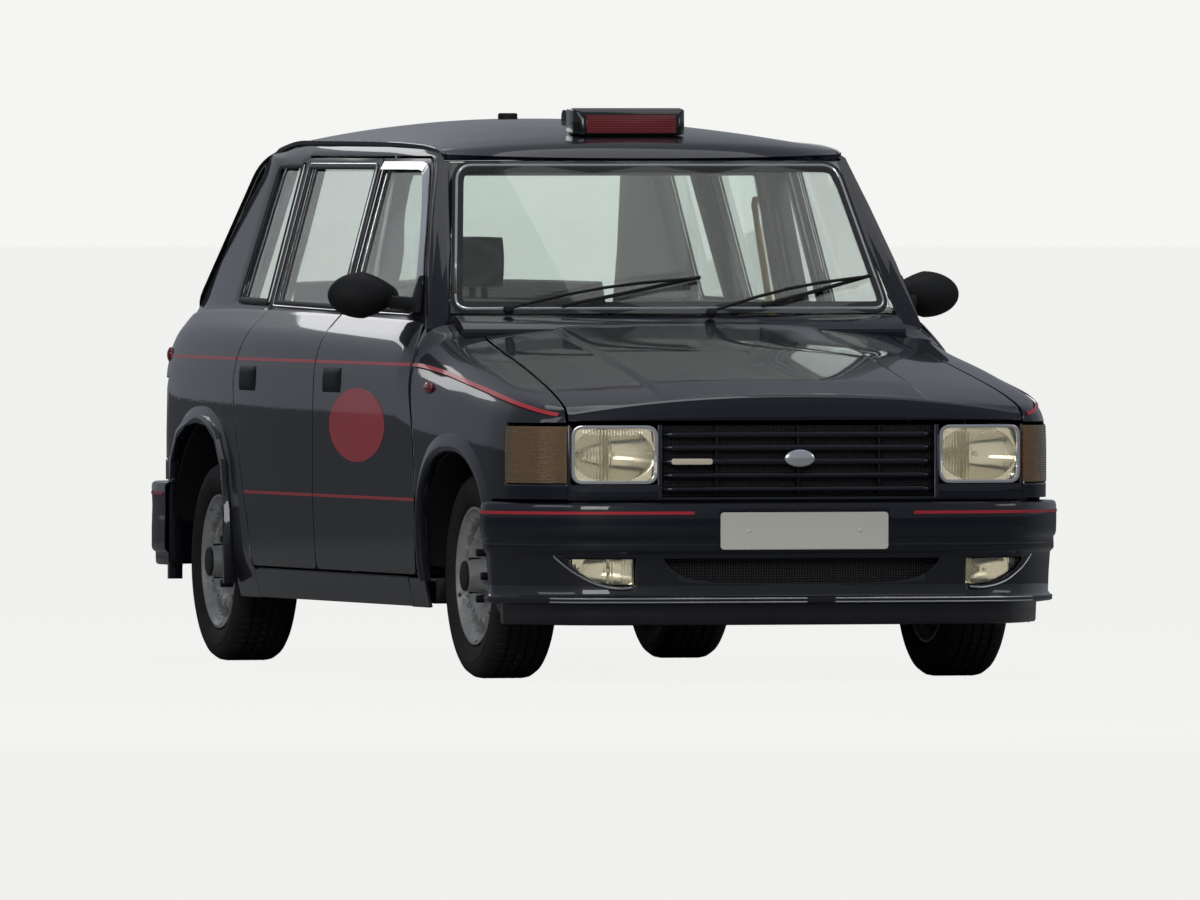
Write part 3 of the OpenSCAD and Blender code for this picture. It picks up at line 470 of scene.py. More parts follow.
def wing_place(u, v):
    """The wing: up the side, over the shoulder and in to the bonnet's edge."""
    s = 97 + (1400 - 97) * u ** 1.25
    if s not in wing_paths:
        side = [flank(s, 205 + 855 * k / 70) for k in range(71)]
        inner = 600 if s < 205 else 560
        edge = side[-1].x
        top = [Vector((edge + (inner - edge) * k / 24, s, top_height(s, edge + (inner - edge) * k / 24)))
               for k in range(1, 25)]
        wing_paths[s] = smoothed_path(side + top, 26)
    path = wing_paths[s]
    i = v * (len(path) - 1)
    k = min(int(i), len(path) - 2)
    return path[k].lerp(path[k + 1], i - k)


DOOR_FRONT_EDGE = [(1190, 292), (1172, 420), (1166, 526), (1202, 760), (1272, 913), (1338, 1006),
                   (1362, 1036)]
WING_OUTLINE = [(404, 205), (1316, 205), (1316, 292)] + threaded(DOOR_FRONT_EDGE, 5) + [
    (1362, 1120), (40, 1120), (40, 766), (301, 766), (301, 584), (40, 584), (40, 541), (404, 541)]
BONNET_LINE = [(-698, 40), (698, 40), (698, 90), (626, 1250), (-626, 1250), (-698, 90)]

wing = pressed("front_wing_left", wing_place, 150, 94, 9)
cut(wing, block(WING_OUTLINE, 480, 1000), "INTERSECT")
cut(wing, block(arch_outline("front"), 600, 1000))
cut(wing, block(grown(BONNET_LINE, 8), 700, 1400, "z"))
cut(wing, block([(600, 1240), (692, 1240), (692, 1500), (600, 1500)], 900, 1200, "z"))
softened(wing, 1.2)
lip = arch_lip("front", 5, 66)
smooth(lip, 50)


def liner(end, radius, inner, outer):
    """A half round wheel housing, open below, closed by a wall on its inner side."""
    def place(u, v):
        turn = math.pi * (0.02 + 0.96 * u)
        if v < 0.3:
            reach, x = radius * (0.35 + 0.65 * v / 0.3), inner
        else:
            reach, x = radius, inner + (outer - inner) * (v - 0.3) / 0.7
        return Vector((x, WHEELS_AT[end] - reach * math.cos(turn), HUB_HEIGHT + reach * math.sin(turn)))
    return pressed("liner", place, 48, 20, 4)


moulded_black, tree, shader, place = new_material("moulded black polypropylene", "131416", 0.62,
                                                  Specular_IOR_Level=0.35)
# a fine spark-eroded grain, about 1.5 mm
roughened(tree, shader, place, 650, 0.0004, 0.6)
wing = joined("front_wing_left", [wing, lip])
paired(wing, "body", paint, "front_wings")
for end, radius, inner, outer in (("front", 366, 430, 846), ("rear", 432, 524, 812)):
    cover = smooth(liner(end, radius, inner, outer), 50)
    cover.name = end + "_wheel_liner_left"
    paired(cover, "body", moulded_black)

# ---------- doors ----------
# Four doors pressed and welded in steel, hung at their front edges, with a
# trimmed inner face and black framed windows above the shoulder.
trim_vinyl, tree, shader, place = new_material("grained grey trim vinyl", "56534D", 0.6)
roughened(tree, shader, place, 420, 0.0005, 0.8)
window_frame, tree, shader, place = new_material("satin black window frame", "08090B", 0.3,
                                                 Coat_Weight=0.4, Coat_Roughness=0.15)
roughened(tree, shader, place, 60, 0.00008, 0.4)


def cad_copy(node, name, shift=(0, 0, 0), width=1.2, angle=35, segments=2):
    """A merged copy of a node's mesh with softened edges, moved a little inwards."""
    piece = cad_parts[node].copy()
    piece.data = piece.data.copy()
    piece.animation_data_clear()
    for key in list(piece.keys()):
        del piece[key]
    piece.parent = None
    piece.matrix_world = Matrix.Identity(4)
    piece.hide_render = False
    piece.hide_viewport = False
    piece.name = name
    bpy.context.scene.collection.objects.link(piece)
    piece.data.transform(Matrix.Translation(Vector(shift) / 1000))
    bpy.ops.object.select_all(action="DESELECT")
    bpy.context.view_layer.objects.active = piece
    piece.select_set(True)
    bpy.ops.object.mode_set(mode="EDIT")
    bpy.ops.mesh.select_all(action="SELECT")
    bpy.ops.mesh.remove_doubles(threshold=0.00005)
    bpy.ops.mesh.dissolve_limited(angle_limit=math.radians(0.5))
    bpy.ops.object.mode_set(mode="OBJECT")
    if width:
        return softened(piece, width, segments, angle)
    return smooth(piece, angle)


def two_tone(piece, outer, inner, upper):
    """Paint outside below the shoulder, trim on the faces that look into the car, black above."""
    piece.data.materials.clear()
    for material in (outer, inner, upper):
        piece.data.materials.append(material)
    for face in piece.data.polygons:
        spot = face.center
        s = spot.y * 1000 + HALF_LENGTH
        if spot.z * 1000 > belt(s) - 8:
            face.material_index = 2
        elif face.normal.x * (1 if spot.x > 0 else -1) < -0.3:
            face.material_index = 1
    return piece


FRONT_OPENING = [(1196, 296), (2308, 296), (2308, 1040), (2302, 1064), (2302, 1552), (1800, 1552),
                 (1757, 1536), (1388, 1054), (1338, 1006), (1272, 913), (1202, 760), (1166, 526),
                 (1172, 420)]
REAR_OPENING = [(2300, 296), (3062, 296), (3082, 430), (3190, 640), (3258, 765), (3270, 860),
                (3232, 962), (3166, 1060), (3156, 1300), (3166, 1552), (2300, 1552)]
# Doors: [name, outline, first and last distance of the panel]
for word, outline, first, last in (("front", FRONT_OPENING, 1140, 2330),
                                   ("rear", REAR_OPENING, 2280, 3290)):
    skin = pressed(word + "_door_skin", lambda u, v: flank(first + (last - first) * u, 280 + 779 * v)
                   + Vector((0.6, 0, 0)), 120, 80, 3.4)
    cut(skin, block(rounded(grown(outline, -7.4), 26), 500, 1000), "INTERSECT")
    softened(skin, 1.2)
    skin.data.materials.append(paint)
    for side in ("left", "right"):
        node = word + "_door_" + side
        sign = 1 if side == "left" else -1
        inner = cad_copy(node, node + "_shell", (-3.2 * sign, 0, 0), 1.0)
        two_tone(inner, paint, trim_vinyl, window_frame)
        outer = opposite(skin, node + "_skin")
        if side == "left":
            outer.data.transform(Matrix.Scale(-1, 4, (1, 0, 0)))
            outer.data.flip_normals()
        door = joined(node + "_panel", [inner, outer])
        finished(door, "door_" + word + "_" + side, None, node)
    bpy.data.objects.remove(skin)

# ---------- body side frames ----------
# One large pressing each side: sill, pillars, the rail over the doors and the
# rear quarter, spot welded to the floor and the roof.
for side in ("left", "right"):
    sign = 1 if side == "left" else -1
    node = "side_frame_" + side
    inner = cad_copy(node, node + "_shell", (-3.2 * sign, 0, 0), 1.0)
    inner.data.materials.clear()
    for material in (paint, trim_vinyl):
        inner.data.materials.append(material)
    for face in inner.data.polygons:
        spot = face.center
        if face.normal.x * sign < -0.5 and spot.z > 0.3:
            face.material_index = 1
    finished(inner, "body", None, node)

quarter = pressed("rear_quarter_left", lambda u, v: flank(3040 + 1415 * u, 205 + 854 * v)
                  + Vector((0.6, 0, 0)), 150, 90, 3.4)
cut(quarter, block(rounded(REAR_OPENING, 26), 500, 1000))
cut(quarter, block(arch_outline("rear"), 500, 1000))
cut(quarter, block([(3900, 100), (4700, 100), (4700, 549), (4080, 549), (4080, 300), (3900, 300)],
                   400, 1000))
cut(quarter, block(box_rows(4288, 4700, 610, 864), 600, 1000))
softened(quarter, 1.0)
rear_lip = smooth(arch_lip("rear", 5, 52), 50)
sill = pressed("sill", lambda u, v: flank(1300 + 1780 * u, 207 + 84 * v) + Vector((0.6, 0, 0)),
               60, 10, 3.4)
smooth(sill)
quarter = joined("rear_quarter_left", [quarter, rear_lip, sill])
paired(quarter, "body", paint)

# ---------- roof ----------
# A pressed roof skin with a headlining under it; a drip channel is spot welded
# along each side, from the foot of the screen pillar to the tail.
crown = smooth_curve([(1712, 1545), (1735, 1570), (1780, 1592), (1950, 1620), (2250, 1646),
                      (2600, 1660), (2950, 1665), (3250, 1657), (3500, 1635), (3660, 1600),
                      (3740, 1572), (3775, 1548)])


def roof_place(u, v):
    """The crowned roof between its two drip rails."""
    s = 1712 + 2063 * u
    f = 2 * v - 1
    x = f * (rail(s) - 26)
    slid = (s - 52 * (1 - (x / 620) ** 2) * max(0, (2300 - s) / 588)
            + 45 * (1 - (x / 600) ** 2) * max(0, (s - 3200) / 575))
    return Vector((-x, slid, gutter(s) + (crown(s) - gutter(s)) * (1 - abs(f) ** 2.4)))


roof = pressed("roof_skin", roof_place, 130, 80, 14)
smooth(roof, 40)
finished(roof, "body", paint, "roof_panel")
headlining, tree, shader, place = new_material("felted headlining cloth", "8E8C86", 0.95,
                                               Sheen_Weight=0.3)
roughened(tree, shader, place, 700, 0.0004)
lining = pressed("roof_lining", lambda u, v: roof_place(0.02 + 0.96 * u, 0.03 + 0.94 * v)
                 - Vector((0, 0, 17)), 60, 40, 8)
finished(smooth(lining), "body", headlining)


def drip_place(u, v):
    """The rolled channel along the roof's left edge."""
    s = 1722 + 2040 * u
    ring = [(-4, 2), (-2, -7), (6, -8), (9, 3), (6, 4), (3, -3), (0, 2)]
    i = v * (len(ring) - 1)
    k = min(int(i), len(ring) - 2)
    out, up = Vector(ring[k]).lerp(Vector(ring[k + 1]), i - k)
    return Vector((rail(s) - 24 + out, s, gutter(s) + up))


drip = smooth(pressed("drip_rail_left", drip_place, 120, 6, 1.5), 40)
paired(drip, "body", paint)

# ---------- bonnet ----------
# A pressed lid hinged at its rear edge, with a raised centre panel between two
# creases and a front lip that turns down over the grille.
def bonnet_place(u, v):
    """The bonnet: a rolled front lip, then the crowned top with its raised centre."""
    x = -702 + 1404 * u
    edge = nose(abs(x))
    front = 96
    lip = [(773, 0.0), (top_height(front, x) - 26, 2.0), (top_height(front, x) - 9, 8.0),
           (top_height(front, x) - 2, 22.0)]
    turn = 0.12
    fade = 1 / (1 + math.exp((abs(x) - 405) / 2.4))
    if v < turn:
        i = v / turn * 3
        k = min(int(i), 2)
        t = i - k
        z = lip[k][0] * (1 - t) + lip[k + 1][0] * t
        s = edge + lip[k][1] * (1 - t) + lip[k + 1][1] * t
        return Vector((x, s, z))
    t = (v - turn) / (1 - turn)
    s = edge + 22 + (1258 - edge - 22) * t
    z = top_height(max(s, 96), x) + fade * 8 * min(1, (s - 50) / 200) - 2 * (1 - t) ** 6
    return Vector((x, s, z))


bonnet = pressed("bonnet_panel", bonnet_place, 240, 110, 3)
cut(bonnet, block(BONNET_LINE, 768, 1400, "z"), "INTERSECT")
softened(bonnet, 1.5)
finished(bonnet, "bonnet", paint, "bonnet")

# ---------- boot lid and rear panel ----------
# The boot lid hangs from its top edge and closes over the rear panel.
tail_line = smooth_curve([(0, 4482), (450, 4474), (700, 4456)])
tail_step = smooth_curve([(548, 0), (700, 2), (880, 8), (960, 14), (1002, 26), (1030, 48)])


def tail_place(u, v):
    """The boot lid: up the tail and over to the foot of the rear screen."""
    x = 660 - 1320 * u
    back = tail_line(abs(x))
    if v < 0.6:
        z = 548 + (1030 - 548) * v / 0.6
        return Vector((x, back - tail_step(z), z))
    t = (v - 0.6) / 0.4
    bend = threaded([(48, 1030), (90, 1048), (168, 1062), (222, 1070), (250, 1076)], 10)
    i = t * (len(bend) - 1)
    k = min(int(i), len(bend) - 2)
    step, z = Vector(bend[k]).lerp(Vector(bend[k + 1]), i - k)
    return Vector((x, back - step, z))


lid = pressed("boot_lid_panel", tail_place, 110, 90, 14)
cut(lid, block(rounded([(-616, 593), (616, 593), (616, 1200), (-616, 1200)], 30), 4282, 4600, "s"),
    "INTERSECT")
softened(lid, 1.5)
finished(lid, "boot_lid", paint, "boot_lid")

# ---------- bumpers ----------
# Moulded bumpers wrapped round both ends, painted with the body; the front one
# has a curved air intake, two lamp pockets and a lip along its lower edge.
def swept(name, line, profile, first=0.0, last=1.0, depth=3.5, across=170, way=1, lift=0.0):
    """A panel swept along a plan line with an (inset, height) profile."""
    path = threaded([(-x, s) for x, s in reversed(line[1:])] + list(line), 10)
    lengths = [0]
    for a, b in zip(path, path[1:]):
        lengths.append(lengths[-1] + (Vector(b) - Vector(a)).length)

    def place(u, v):
        want = (first + (last - first) * u) * lengths[-1]
        k = max(i for i in range(len(path) - 1) if lengths[i] <= want or i == 0)
        t = (want - lengths[k]) / (lengths[k + 1] - lengths[k])
        here = Vector(path[k]).lerp(Vector(path[k + 1]), t)
        along = (Vector(path[min(k + 2, len(path) - 1)]) - Vector(path[max(k - 1, 0)])).normalized()
        i = v * (len(profile) - 1)
        j = min(int(i + 1e-6), len(profile) - 2)
        inset, z = Vector(profile[j]).lerp(Vector(profile[j + 1]), i - j)
        spot = here + Vector((-along.y, along.x)) * (inset - lift) * way
        x = spot.x if way > 0 else -spot.x
        return Vector((x, spot.y, z))
    return pressed(name, place, across, (len(profile) - 1) * 2, depth)


FRONT_LINE = [(0, 0), (300, 4), (480, 16), (620, 42), (700, 80), (760, 138), (812, 210), (852, 280),
              (882, 345), (884, 396)]
FRONT_PROFILE = [(84, 168), (66, 170), (62, 176), (60, 228), (20, 233), (13, 236), (12, 250), (20, 254),
                 (25, 262), (23, 320), (19, 378), (9, 388), (8, 394), (9, 422), (3, 431), (1, 440),
                 (0, 480), (1, 518), (4, 527), (12, 531), (60, 533)]
bumper = swept("front_bumper_skin", FRONT_LINE, FRONT_PROFILE)
intake = [(-424, 366), (-412, 345), (-380, 320), (-330, 303), (-240, 294), (0, 290), (240, 294),
          (330, 303), (380, 320), (412, 345), (424, 366)]
cut(bumper, block(threaded(intake, 3), -20, 160, "s"))
lamp_pocket = [(508, 367), (508, 290), (515, 285), (566, 285), (624, 300), (672, 328), (697, 352),
               (702, 367)]
for side in (1, -1):
    cut(bumper, block([(side * a, b) for a, b in lamp_pocket], -20, 170, "s"))
cut(bumper, block([(-262, 388), (262, 388), (262, 505), (-262, 505)], -20, 6, "s"))
softened(bumper, 1.2, 2, 40)
inner_wall = swept("bumper_inner", FRONT_LINE, [(70, 200), (104, 262), (104, 526)], depth=3)
smooth(inner_wall, 40)
finished(bumper, "body", paint, "front_bumper")
finished(inner_wall, "body", moulded_black)

mesh_black, tree, shader, place = new_material("woven black wire mesh", "0B0B0C", 0.5)
# a woven grid of 8 mm, coarser than the real 5 mm so that it shows
weave = add_node(tree, "TexWave", {"Vector": place, "Scale": 40.0}, bands_direction="X")
cross = add_node(tree, "TexWave", {"Vector": place, "Scale": 40.0}, bands_direction="Z")
both = add_node(tree, "Math", {0: weave.outputs["Fac"], 1: cross.outputs["Fac"]}, operation="MULTIPLY")
tree.links.new(mixed(tree, both.outputs["Value"], tone("1C1C1E"), tone("030303")),
               shader.inputs["Base Color"])
bump = add_node(tree, "Bump", {"Height": both.outputs["Value"], "Distance": 0.003}, invert=True)
tree.links.new(bump.outputs["Normal"], shader.inputs["Normal"])
screen = swept("intake_mesh", FRONT_LINE, [(66, 280), (66, 376)], 0.29, 0.71, 3, 60)
finished(smooth(screen), "body", mesh_black)

striping, tree, shader, place = new_material("cut red vinyl striping", "C9303C", 0.35,
                                             Coat_Weight=0.5)
roughened(tree, shader, place, 40, 0.00005, 0.5)
bright_trim, tree, shader, place = new_material("polished bright trim", "E6E9EC", 0.18, Metallic=0.75)
roughened(tree, shader, place, 25, 0.00006, 0.5)
for name, first, last in (("left", 0.655, 1.0), ("right", 0.0, 0.345)):
    line = swept("front_bumper_stripe_" + name, FRONT_LINE, [(0, 496), (0, 505)], first, last, 0.8, 70,
                 1, 1.3)
    finished(smooth(line), "body", striping)
for k, (z, first, last) in enumerate(((248, 0.14, 0.505), (248, 0.545, 0.86), (237, 0.14, 0.505),
                                      (237, 0.545, 0.86))):
    line = swept("lip_bead_%d" % k, FRONT_LINE, [(13, z - 2), (11, z), (13, z + 2)], first, last, 1.2,
                 70, 1, 1.5)
    finished(smooth(line, 60), "body", bright_trim)
bead = threaded([(520, 280), (566, 278), (630, 293), (686, 326), (722, 358), (736, 374)], 6)


def bead_place(u, v):
    """A half round bead under the fog lamp, out to the bumper's corner."""
    i = u * (len(bead) - 1)
    k = min(int(i), len(bead) - 2)
    x, z = Vector(bead[k]).lerp(Vector(bead[k + 1]), i - k)
    reach = smooth_curve([(480, 16), (620, 42), (700, 80), (760, 138)])(x)
    up = (v - 0.5) * 7
    return Vector((x, reach + 15 - 5 * math.sin(math.pi * v), z + up))


bead_left = smooth(pressed("lamp_bead_left", bead_place, 50, 4, 1.5), 60)
paired(bead_left, "body", bright_trim)

REAR_LINE = [(0, 4505), (450, 4499), (640, 4482), (740, 4442), (800, 4380), (832, 4300), (846, 4200),
             (848, 4064)]
REAR_PROFILE = [(60, 286), (18, 288), (13, 294), (12, 326), (3, 333), (0, 342), (0, 400), (2, 470),
                (0, 530), (3, 541), (12, 545), (92, 546)]
rear_bumper = swept("rear_bumper_skin", REAR_LINE, REAR_PROFILE, way=-1)
REAR_GAP = grown(arch_outline("rear"), 30)
for side in (1, -1):
    cut(rear_bumper, block(REAR_GAP, 500 * side, 1000 * side))
cut(rear_bumper, block([(-262, 378), (262, 378), (262, 496), (-262, 496)], 4499, 4520, "s"))
softened(rear_bumper, 1.2, 2, 40)
finished(rear_bumper, "body", paint, "rear_bumper")
stripe = swept("rear_bumper_stripe", REAR_LINE, [(0, 505), (0, 514)], 0.02, 0.98, 0.8, 140, -1, 1.3)
finished(smooth(stripe), "body", striping)


def plate(name, face, s, z, way):
    """A pressed alloy number plate with a blank reflective face and two screw caps."""
    bpy.ops.object.select_all(action="DESELECT")
    piece = block(box_rows(-258, 258, z - 55, z + 55, 12), s, s + 2.4 * way, "s")
    piece.name = name
    bpy.ops.object.mode_set(mode="EDIT")
    bpy.ops.mesh.select_all(action="DESELECT")
    bpy.ops.object.mode_set(mode="OBJECT")
    for side in piece.data.polygons:
        side.select = side.normal.y * way > 0.9
    bpy.ops.object.mode_set(mode="EDIT")
    bpy.ops.mesh.select_mode(type="FACE")
    bpy.ops.mesh.inset(thickness=0.006)
    bpy.ops.transform.translate(value=(0, -0.0008 * way, 0))
    bpy.ops.object.mode_set(mode="OBJECT")
    softened(piece, 0.6)
    finished(piece, "body", face)
    for x in (-170, 170):
        bpy.ops.object.select_all(action="DESELECT")
        bpy.ops.mesh.primitive_uv_sphere_add(segments=20, ring_count=10, radius=0.006)
        cap = bpy.context.object
        cap.name = name + "_cap_" + ("left" if x > 0 else "right")
        cap.data.transform(Matrix.Translation(at(x, s + 2.2 * way, z)) @ Matrix.Diagonal((1, 0.4, 1, 1)))
        finished(smooth(cap, 60), "body", face)


for name, colour, s, z, way in (("front_plate", "E9E6DA", 5.4, 447, -1),
                                ("rear_plate", "E2B51E", 4499.6, 437, 1)):
    face, tree, shader, place = new_material(name.replace("_", " ") + " reflective sheeting", colour, 0.3,
                                             Coat_Weight=0.6)
    # sealed glass bead sheeting: a cell pattern drawn at 3 mm
    roughened(tree, shader, place, 330, 0.0001, 0.5)
    plate(name, face, s, z, way)

# ---------- grille and nose ----------
# Five painted slats clipped in front of a black backing with three upright ribs,
# and a blank oval boss in the middle.
nose_piece = cad_copy("nose_panel", "nose_panel_skin", (0, 0, 0), 1.5)
finished(nose_piece, "body", paint, "nose_panel")
slat_form = [(22, -3), (3, -7), (0, -2), (1, 5), (5, 8), (22, 6)]
for k in range(5):
    middle = 569 + 41 * k - (2 if k == 4 else 0)

    def slat_place(u, v):
        x = -418 + 836 * u
        i = v * (len(slat_form) - 1)
        j = min(int(i), len(slat_form) - 2)
        inset, up = Vector(slat_form[j]).lerp(Vector(slat_form[j + 1]), i - j)
        taper = min(1, (418 - abs(x)) / 26)
        return Vector((x, nose(abs(x)) + 2 + inset * 0.9 + 14 * (1 - taper),
                       middle + up * (0.45 + 0.55 * taper)))
    slat = smooth(pressed("grille_slat_%d" % (k + 1), slat_place, 90, 10, 2), 50)
    finished(slat, "body", paint, *(["grille"] if k == 0 else []))


def backing_place(u, v):
    """The black sheet behind the slats."""
    x = -419 + 838 * u
    return Vector((x, nose(abs(x)) + 36, 549 + 208 * v))


backing = smooth(pressed("grille_backing", backing_place, 60, 20, 5))
finished(backing, "body", mesh_black)
for k, x in enumerate((-250, 0, 250)):
    rib = softened(block(box_rows(x - 3, x + 3, 552, 754), nose(abs(x)) + 12, nose(abs(x)) + 34, "s"), 1)
    rib.name = "grille_rib_%d" % (k + 1)
    finished(rib, "body", moulded_black)
bpy.ops.object.select_all(action="DESELECT")
bpy.ops.mesh.primitive_uv_sphere_add(segments=48, ring_count=24, radius=1)
boss = bpy.context.object
boss.name = "grille_boss"
boss.data.transform(Matrix.Translation(at(0, 54, 660)) @ Matrix.Diagonal((0.046, 0.008, 0.026, 1)))
finished(smooth(boss, 60), "body", bright_trim)
marker_glass, tree, shader, place = new_material("pale moulded marker lens", "EFE2C8", 0.3,
                                                 Coat_Weight=0.5)
roughened(tree, shader, place, 300, 0.0002)
marker = softened(block(box_rows(-394, -268, 642, 660, 8), 50, 60, "s"), 2.5, 3)
marker.name = "grille_marker"
finished(marker, "body", marker_glass)

# ---------- head, fog and side lamps ----------
# Rectangular lamps: a vacuum-silvered dish behind a fluted glass, in a bright
# frame; smaller lamps of the same make sit in the bumper pockets.
silvered, tree, shader, place = new_material("vacuum silvered reflector", "D8D4C8", 0.12, Metallic=1.0)
roughened(tree, shader, place, 60, 0.0003, 0.6)
lamp_glass, tree, shader, place = new_material("fluted lamp glass", "F4F1E6", 0.04, IOR=1.5,
                                               Transmission_Weight=0.96)
# moulded flutes about 9 mm wide
flute = add_node(tree, "TexWave", {"Vector": place, "Scale": 34.0}, bands_direction="X",
                 wave_profile="SIN")
bump = add_node(tree, "Bump", {"Height": flute.outputs["Fac"], "Distance": 0.0012, "Strength": 0.7})
tree.links.new(bump.outputs["Normal"], shader.inputs["Normal"])
bulb_glass, tree, shader, place = new_material("bulb envelope", "F6F0DC", 0.1, Coat_Weight=1.0)
roughened(tree, shader, place, 200, 0.0001)


# Headlamp: [inner side, outer side, foot, head]
LAMP = (438, 686, 590, 754)


def dish_place(u, v):
    """The headlamp's silvered dish."""
    x = LAMP[0] + (LAMP[1] - LAMP[0]) * u
    z = LAMP[2] + (LAMP[3] - LAMP[2]) * v
    a, b = 2 * u - 1, 2 * v - 1
    reach = min(math.hypot(a, b) ** 2, 1.0)
    rim = max(abs(a), abs(b))
    deep = 62 * (1 - reach) if rim < 0.97 else 0
    return Vector((x, nose(x) + 14 + deep, z))


def lens_place(u, v):
    """The headlamp's gently bowed glass."""
    x = LAMP[0] + (LAMP[1] - LAMP[0]) * u
    z = LAMP[2] + (LAMP[3] - LAMP[2]) * v
    bulge = 7 * (1 - (2 * u - 1) ** 4) * (1 - (2 * v - 1) ** 4)
    return Vector((x, nose(x) + 8 - bulge, z))


def lamp_set(name, dish, lens, outline, frame_ring, parts, nodes):
    """A lamp on the left side and its opposite: dish, glass, frame and bulb."""
    made = []
    reflector = pressed(name + "_reflector", dish, 60, 44, 1.5)
    cut(reflector, block(outline, -20, 300, "s"), "INTERSECT")
    made.append((smooth(reflector, 40), silvered))
    glass = pressed(name + "_glass", lens, 50, 36, 3)
    cut(glass, block(outline, -20, 300, "s"), "INTERSECT")
    made.append((smooth(glass, 40), lamp_glass))
    made += parts
    if frame_ring:
        made.append((frame_ring, bright_trim))
    for piece, material in made:
        piece.name += "_left"
        paired(piece, "body", material)
    if nodes:
        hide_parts(*nodes)


def ring_of(name, outline, wide, s_of, lift, deep):
    """A raised frame round an outline that lies on a curved front."""
    outer = grown(outline, wide)

    def place(u, v):
        i = u * len(outline)
        k = int(i) % len(outline)
        t = i - int(i)
        a = Vector(outline[k]).lerp(Vector(outline[(k + 1) % len(outline)]), t)
        b = Vector(outer[k]).lerp(Vector(outer[(k + 1) % len(outer)]), t)
        spot = a.lerp(b, min(max(v * 1.4 - 0.2, 0), 1))
        back = deep if v < 0.1 or v > 0.9 else 0
        return Vector((spot.x, s_of(spot.x) - lift + back, spot.y))
    ring = pressed(name, place, len(outline) * 2, 8, 1.5)
    return smooth(merged(ring, 0.0001), 50)


def bulb(name, x, s, z, size):
    """A bulb's glass envelope, pointing forwards."""
    bpy.ops.object.select_all(action="DESELECT")
    bpy.ops.mesh.primitive_uv_sphere_add(segments=20, ring_count=12, radius=size / 1000)
    piece = bpy.context.object
    piece.name = name
    piece.data.transform(Matrix.Translation(at(x, s, z)) @ Matrix.Diagonal((1, 2.0, 1, 1)))
    return smooth(piece, 60)


lamp_outline = box_rows(LAMP[0] + 1, LAMP[1] - 1, LAMP[2] + 1, LAMP[3] - 1, 26)
lamp_set("headlamp", dish_place, lens_place, lamp_outline,
         ring_of("headlamp_frame", box_rows(LAMP[0] + 4, LAMP[1] - 4, LAMP[2] + 4, LAMP[3] - 4, 26), 7,
                 nose, 5, 12),
         [(bulb("headlamp_bulb", 562, 118, 672, 9), bulb_glass)], ["headlamps"])


def bumper_front(x):
    """How far behind its foremost point the bumper's face lies."""
    return smooth_curve([(0, 0), (300, 4), (480, 16), (620, 42), (700, 80), (760, 138)])(abs(x))


def fog_lens(u, v):
    """The fog lamp's glass, set back in its pocket."""
    x, z = 509 + 192 * u, 286 + 81 * v
    return Vector((x, bumper_front(x) + 30 + 14 * u, z))


def fog_dish(u, v):
    """The fog lamp's round dish."""
    x, z = 509 + 192 * u, 286 + 81 * v
    a, b = (x - 580) / 80, (z - 330) / 60
    return Vector((x, bumper_front(x) + 44 + 34 * max(0, 1 - a * a - b * b) + 14 * u, z))


fog_outline = grown(threaded([(512, 364), (512, 292), (518, 289), (566, 289), (622, 303), (669, 331),
                              (693, 354), (696, 364)], 2), -0.5)
lamp_set("fog_lamp", fog_dish, fog_lens, fog_outline, None,
         [(bulb("fog_bulb", 580, 96, 330, 6), bulb_glass)], [])

smoky, tree, shader, place = new_material("smoked amber polycarbonate lens", "A8946F", 0.12, IOR=1.58,
                                          Transmission_Weight=0.75)
flute = add_node(tree, "TexWave", {"Vector": place, "Scale": 45.0}, bands_direction="Z")
bump = add_node(tree, "Bump", {"Height": flute.outputs["Fac"], "Distance": 0.001})
tree.links.new(bump.outputs["Normal"], shader.inputs["Normal"])
amber, tree, shader, place = new_material("amber lamp reflector", "D9822B", 0.35)
roughened(tree, shader, place, 120, 0.0004)


def signal_place(u, v):
    """The corner indicator's lens, flush with the wing."""
    s = 97.5 + 201 * u ** 1.4
    return flank_at(s, 588 + 168 * v) + Vector((1.2, -1.2 * (1 - u), 0))


signal = smooth(pressed("indicator_lens_left", signal_place, 60, 30, 3), 40)
signal_back = smooth(pressed("indicator_reflector_left",
                             lambda u, v: signal_place(u * 0.98, 0.02 + 0.96 * v)
                             + Vector((-16, 18 * (1 - u), 0)), 30, 16, 2), 40)
paired(signal, "body", smoky, "indicator_lamps")
paired(signal_back, "body", amber)

red_lens, tree, shader, place = new_material("moulded red and amber tail lens", "7E0A0E", 0.12,
                                             Coat_Weight=1.0)
split = add_node(tree, "SeparateXYZ", {"Vector": place})
band = add_node(tree, "Math", {0: split.outputs["Z"], 1: 0.68}, operation="LESS_THAN")
clear_band = add_node(tree, "Math", {0: split.outputs["Z"], 1: 0.645}, operation="LESS_THAN")
two = mixed(tree, band.outputs["Value"], tone("7E0A0E"), tone("B85A12"))
tree.links.new(mixed(tree, clear_band.outputs["Value"], two, tone("B9B4A8")), shader.inputs["Base Color"])
flute = add_node(tree, "TexWave", {"Vector": place, "Scale": 30.0}, bands_direction="Z")
bump = add_node(tree, "Bump", {"Height": flute.outputs["Fac"], "Distance": 0.001})
tree.links.new(bump.outputs["Normal"], shader.inputs["Normal"])
tail_piece = cad_copy("tail_lamps", "tail_lamp_lenses", (0, 0, 0), 3, 35, 3)
finished(tail_piece, "body", red_lens, "tail_lamps")
rear_piece = cad_copy("rear_panel", "rear_panel_skin", (0, 0, 0), 1)
finished(rear_piece, "body", paint, "rear_panel")
scuttle = cad_copy("scuttle_panel", "scuttle_cowl", (0, 0, 0), 5, 25, 3)
finished(scuttle, "body", paint, "scuttle_panel")

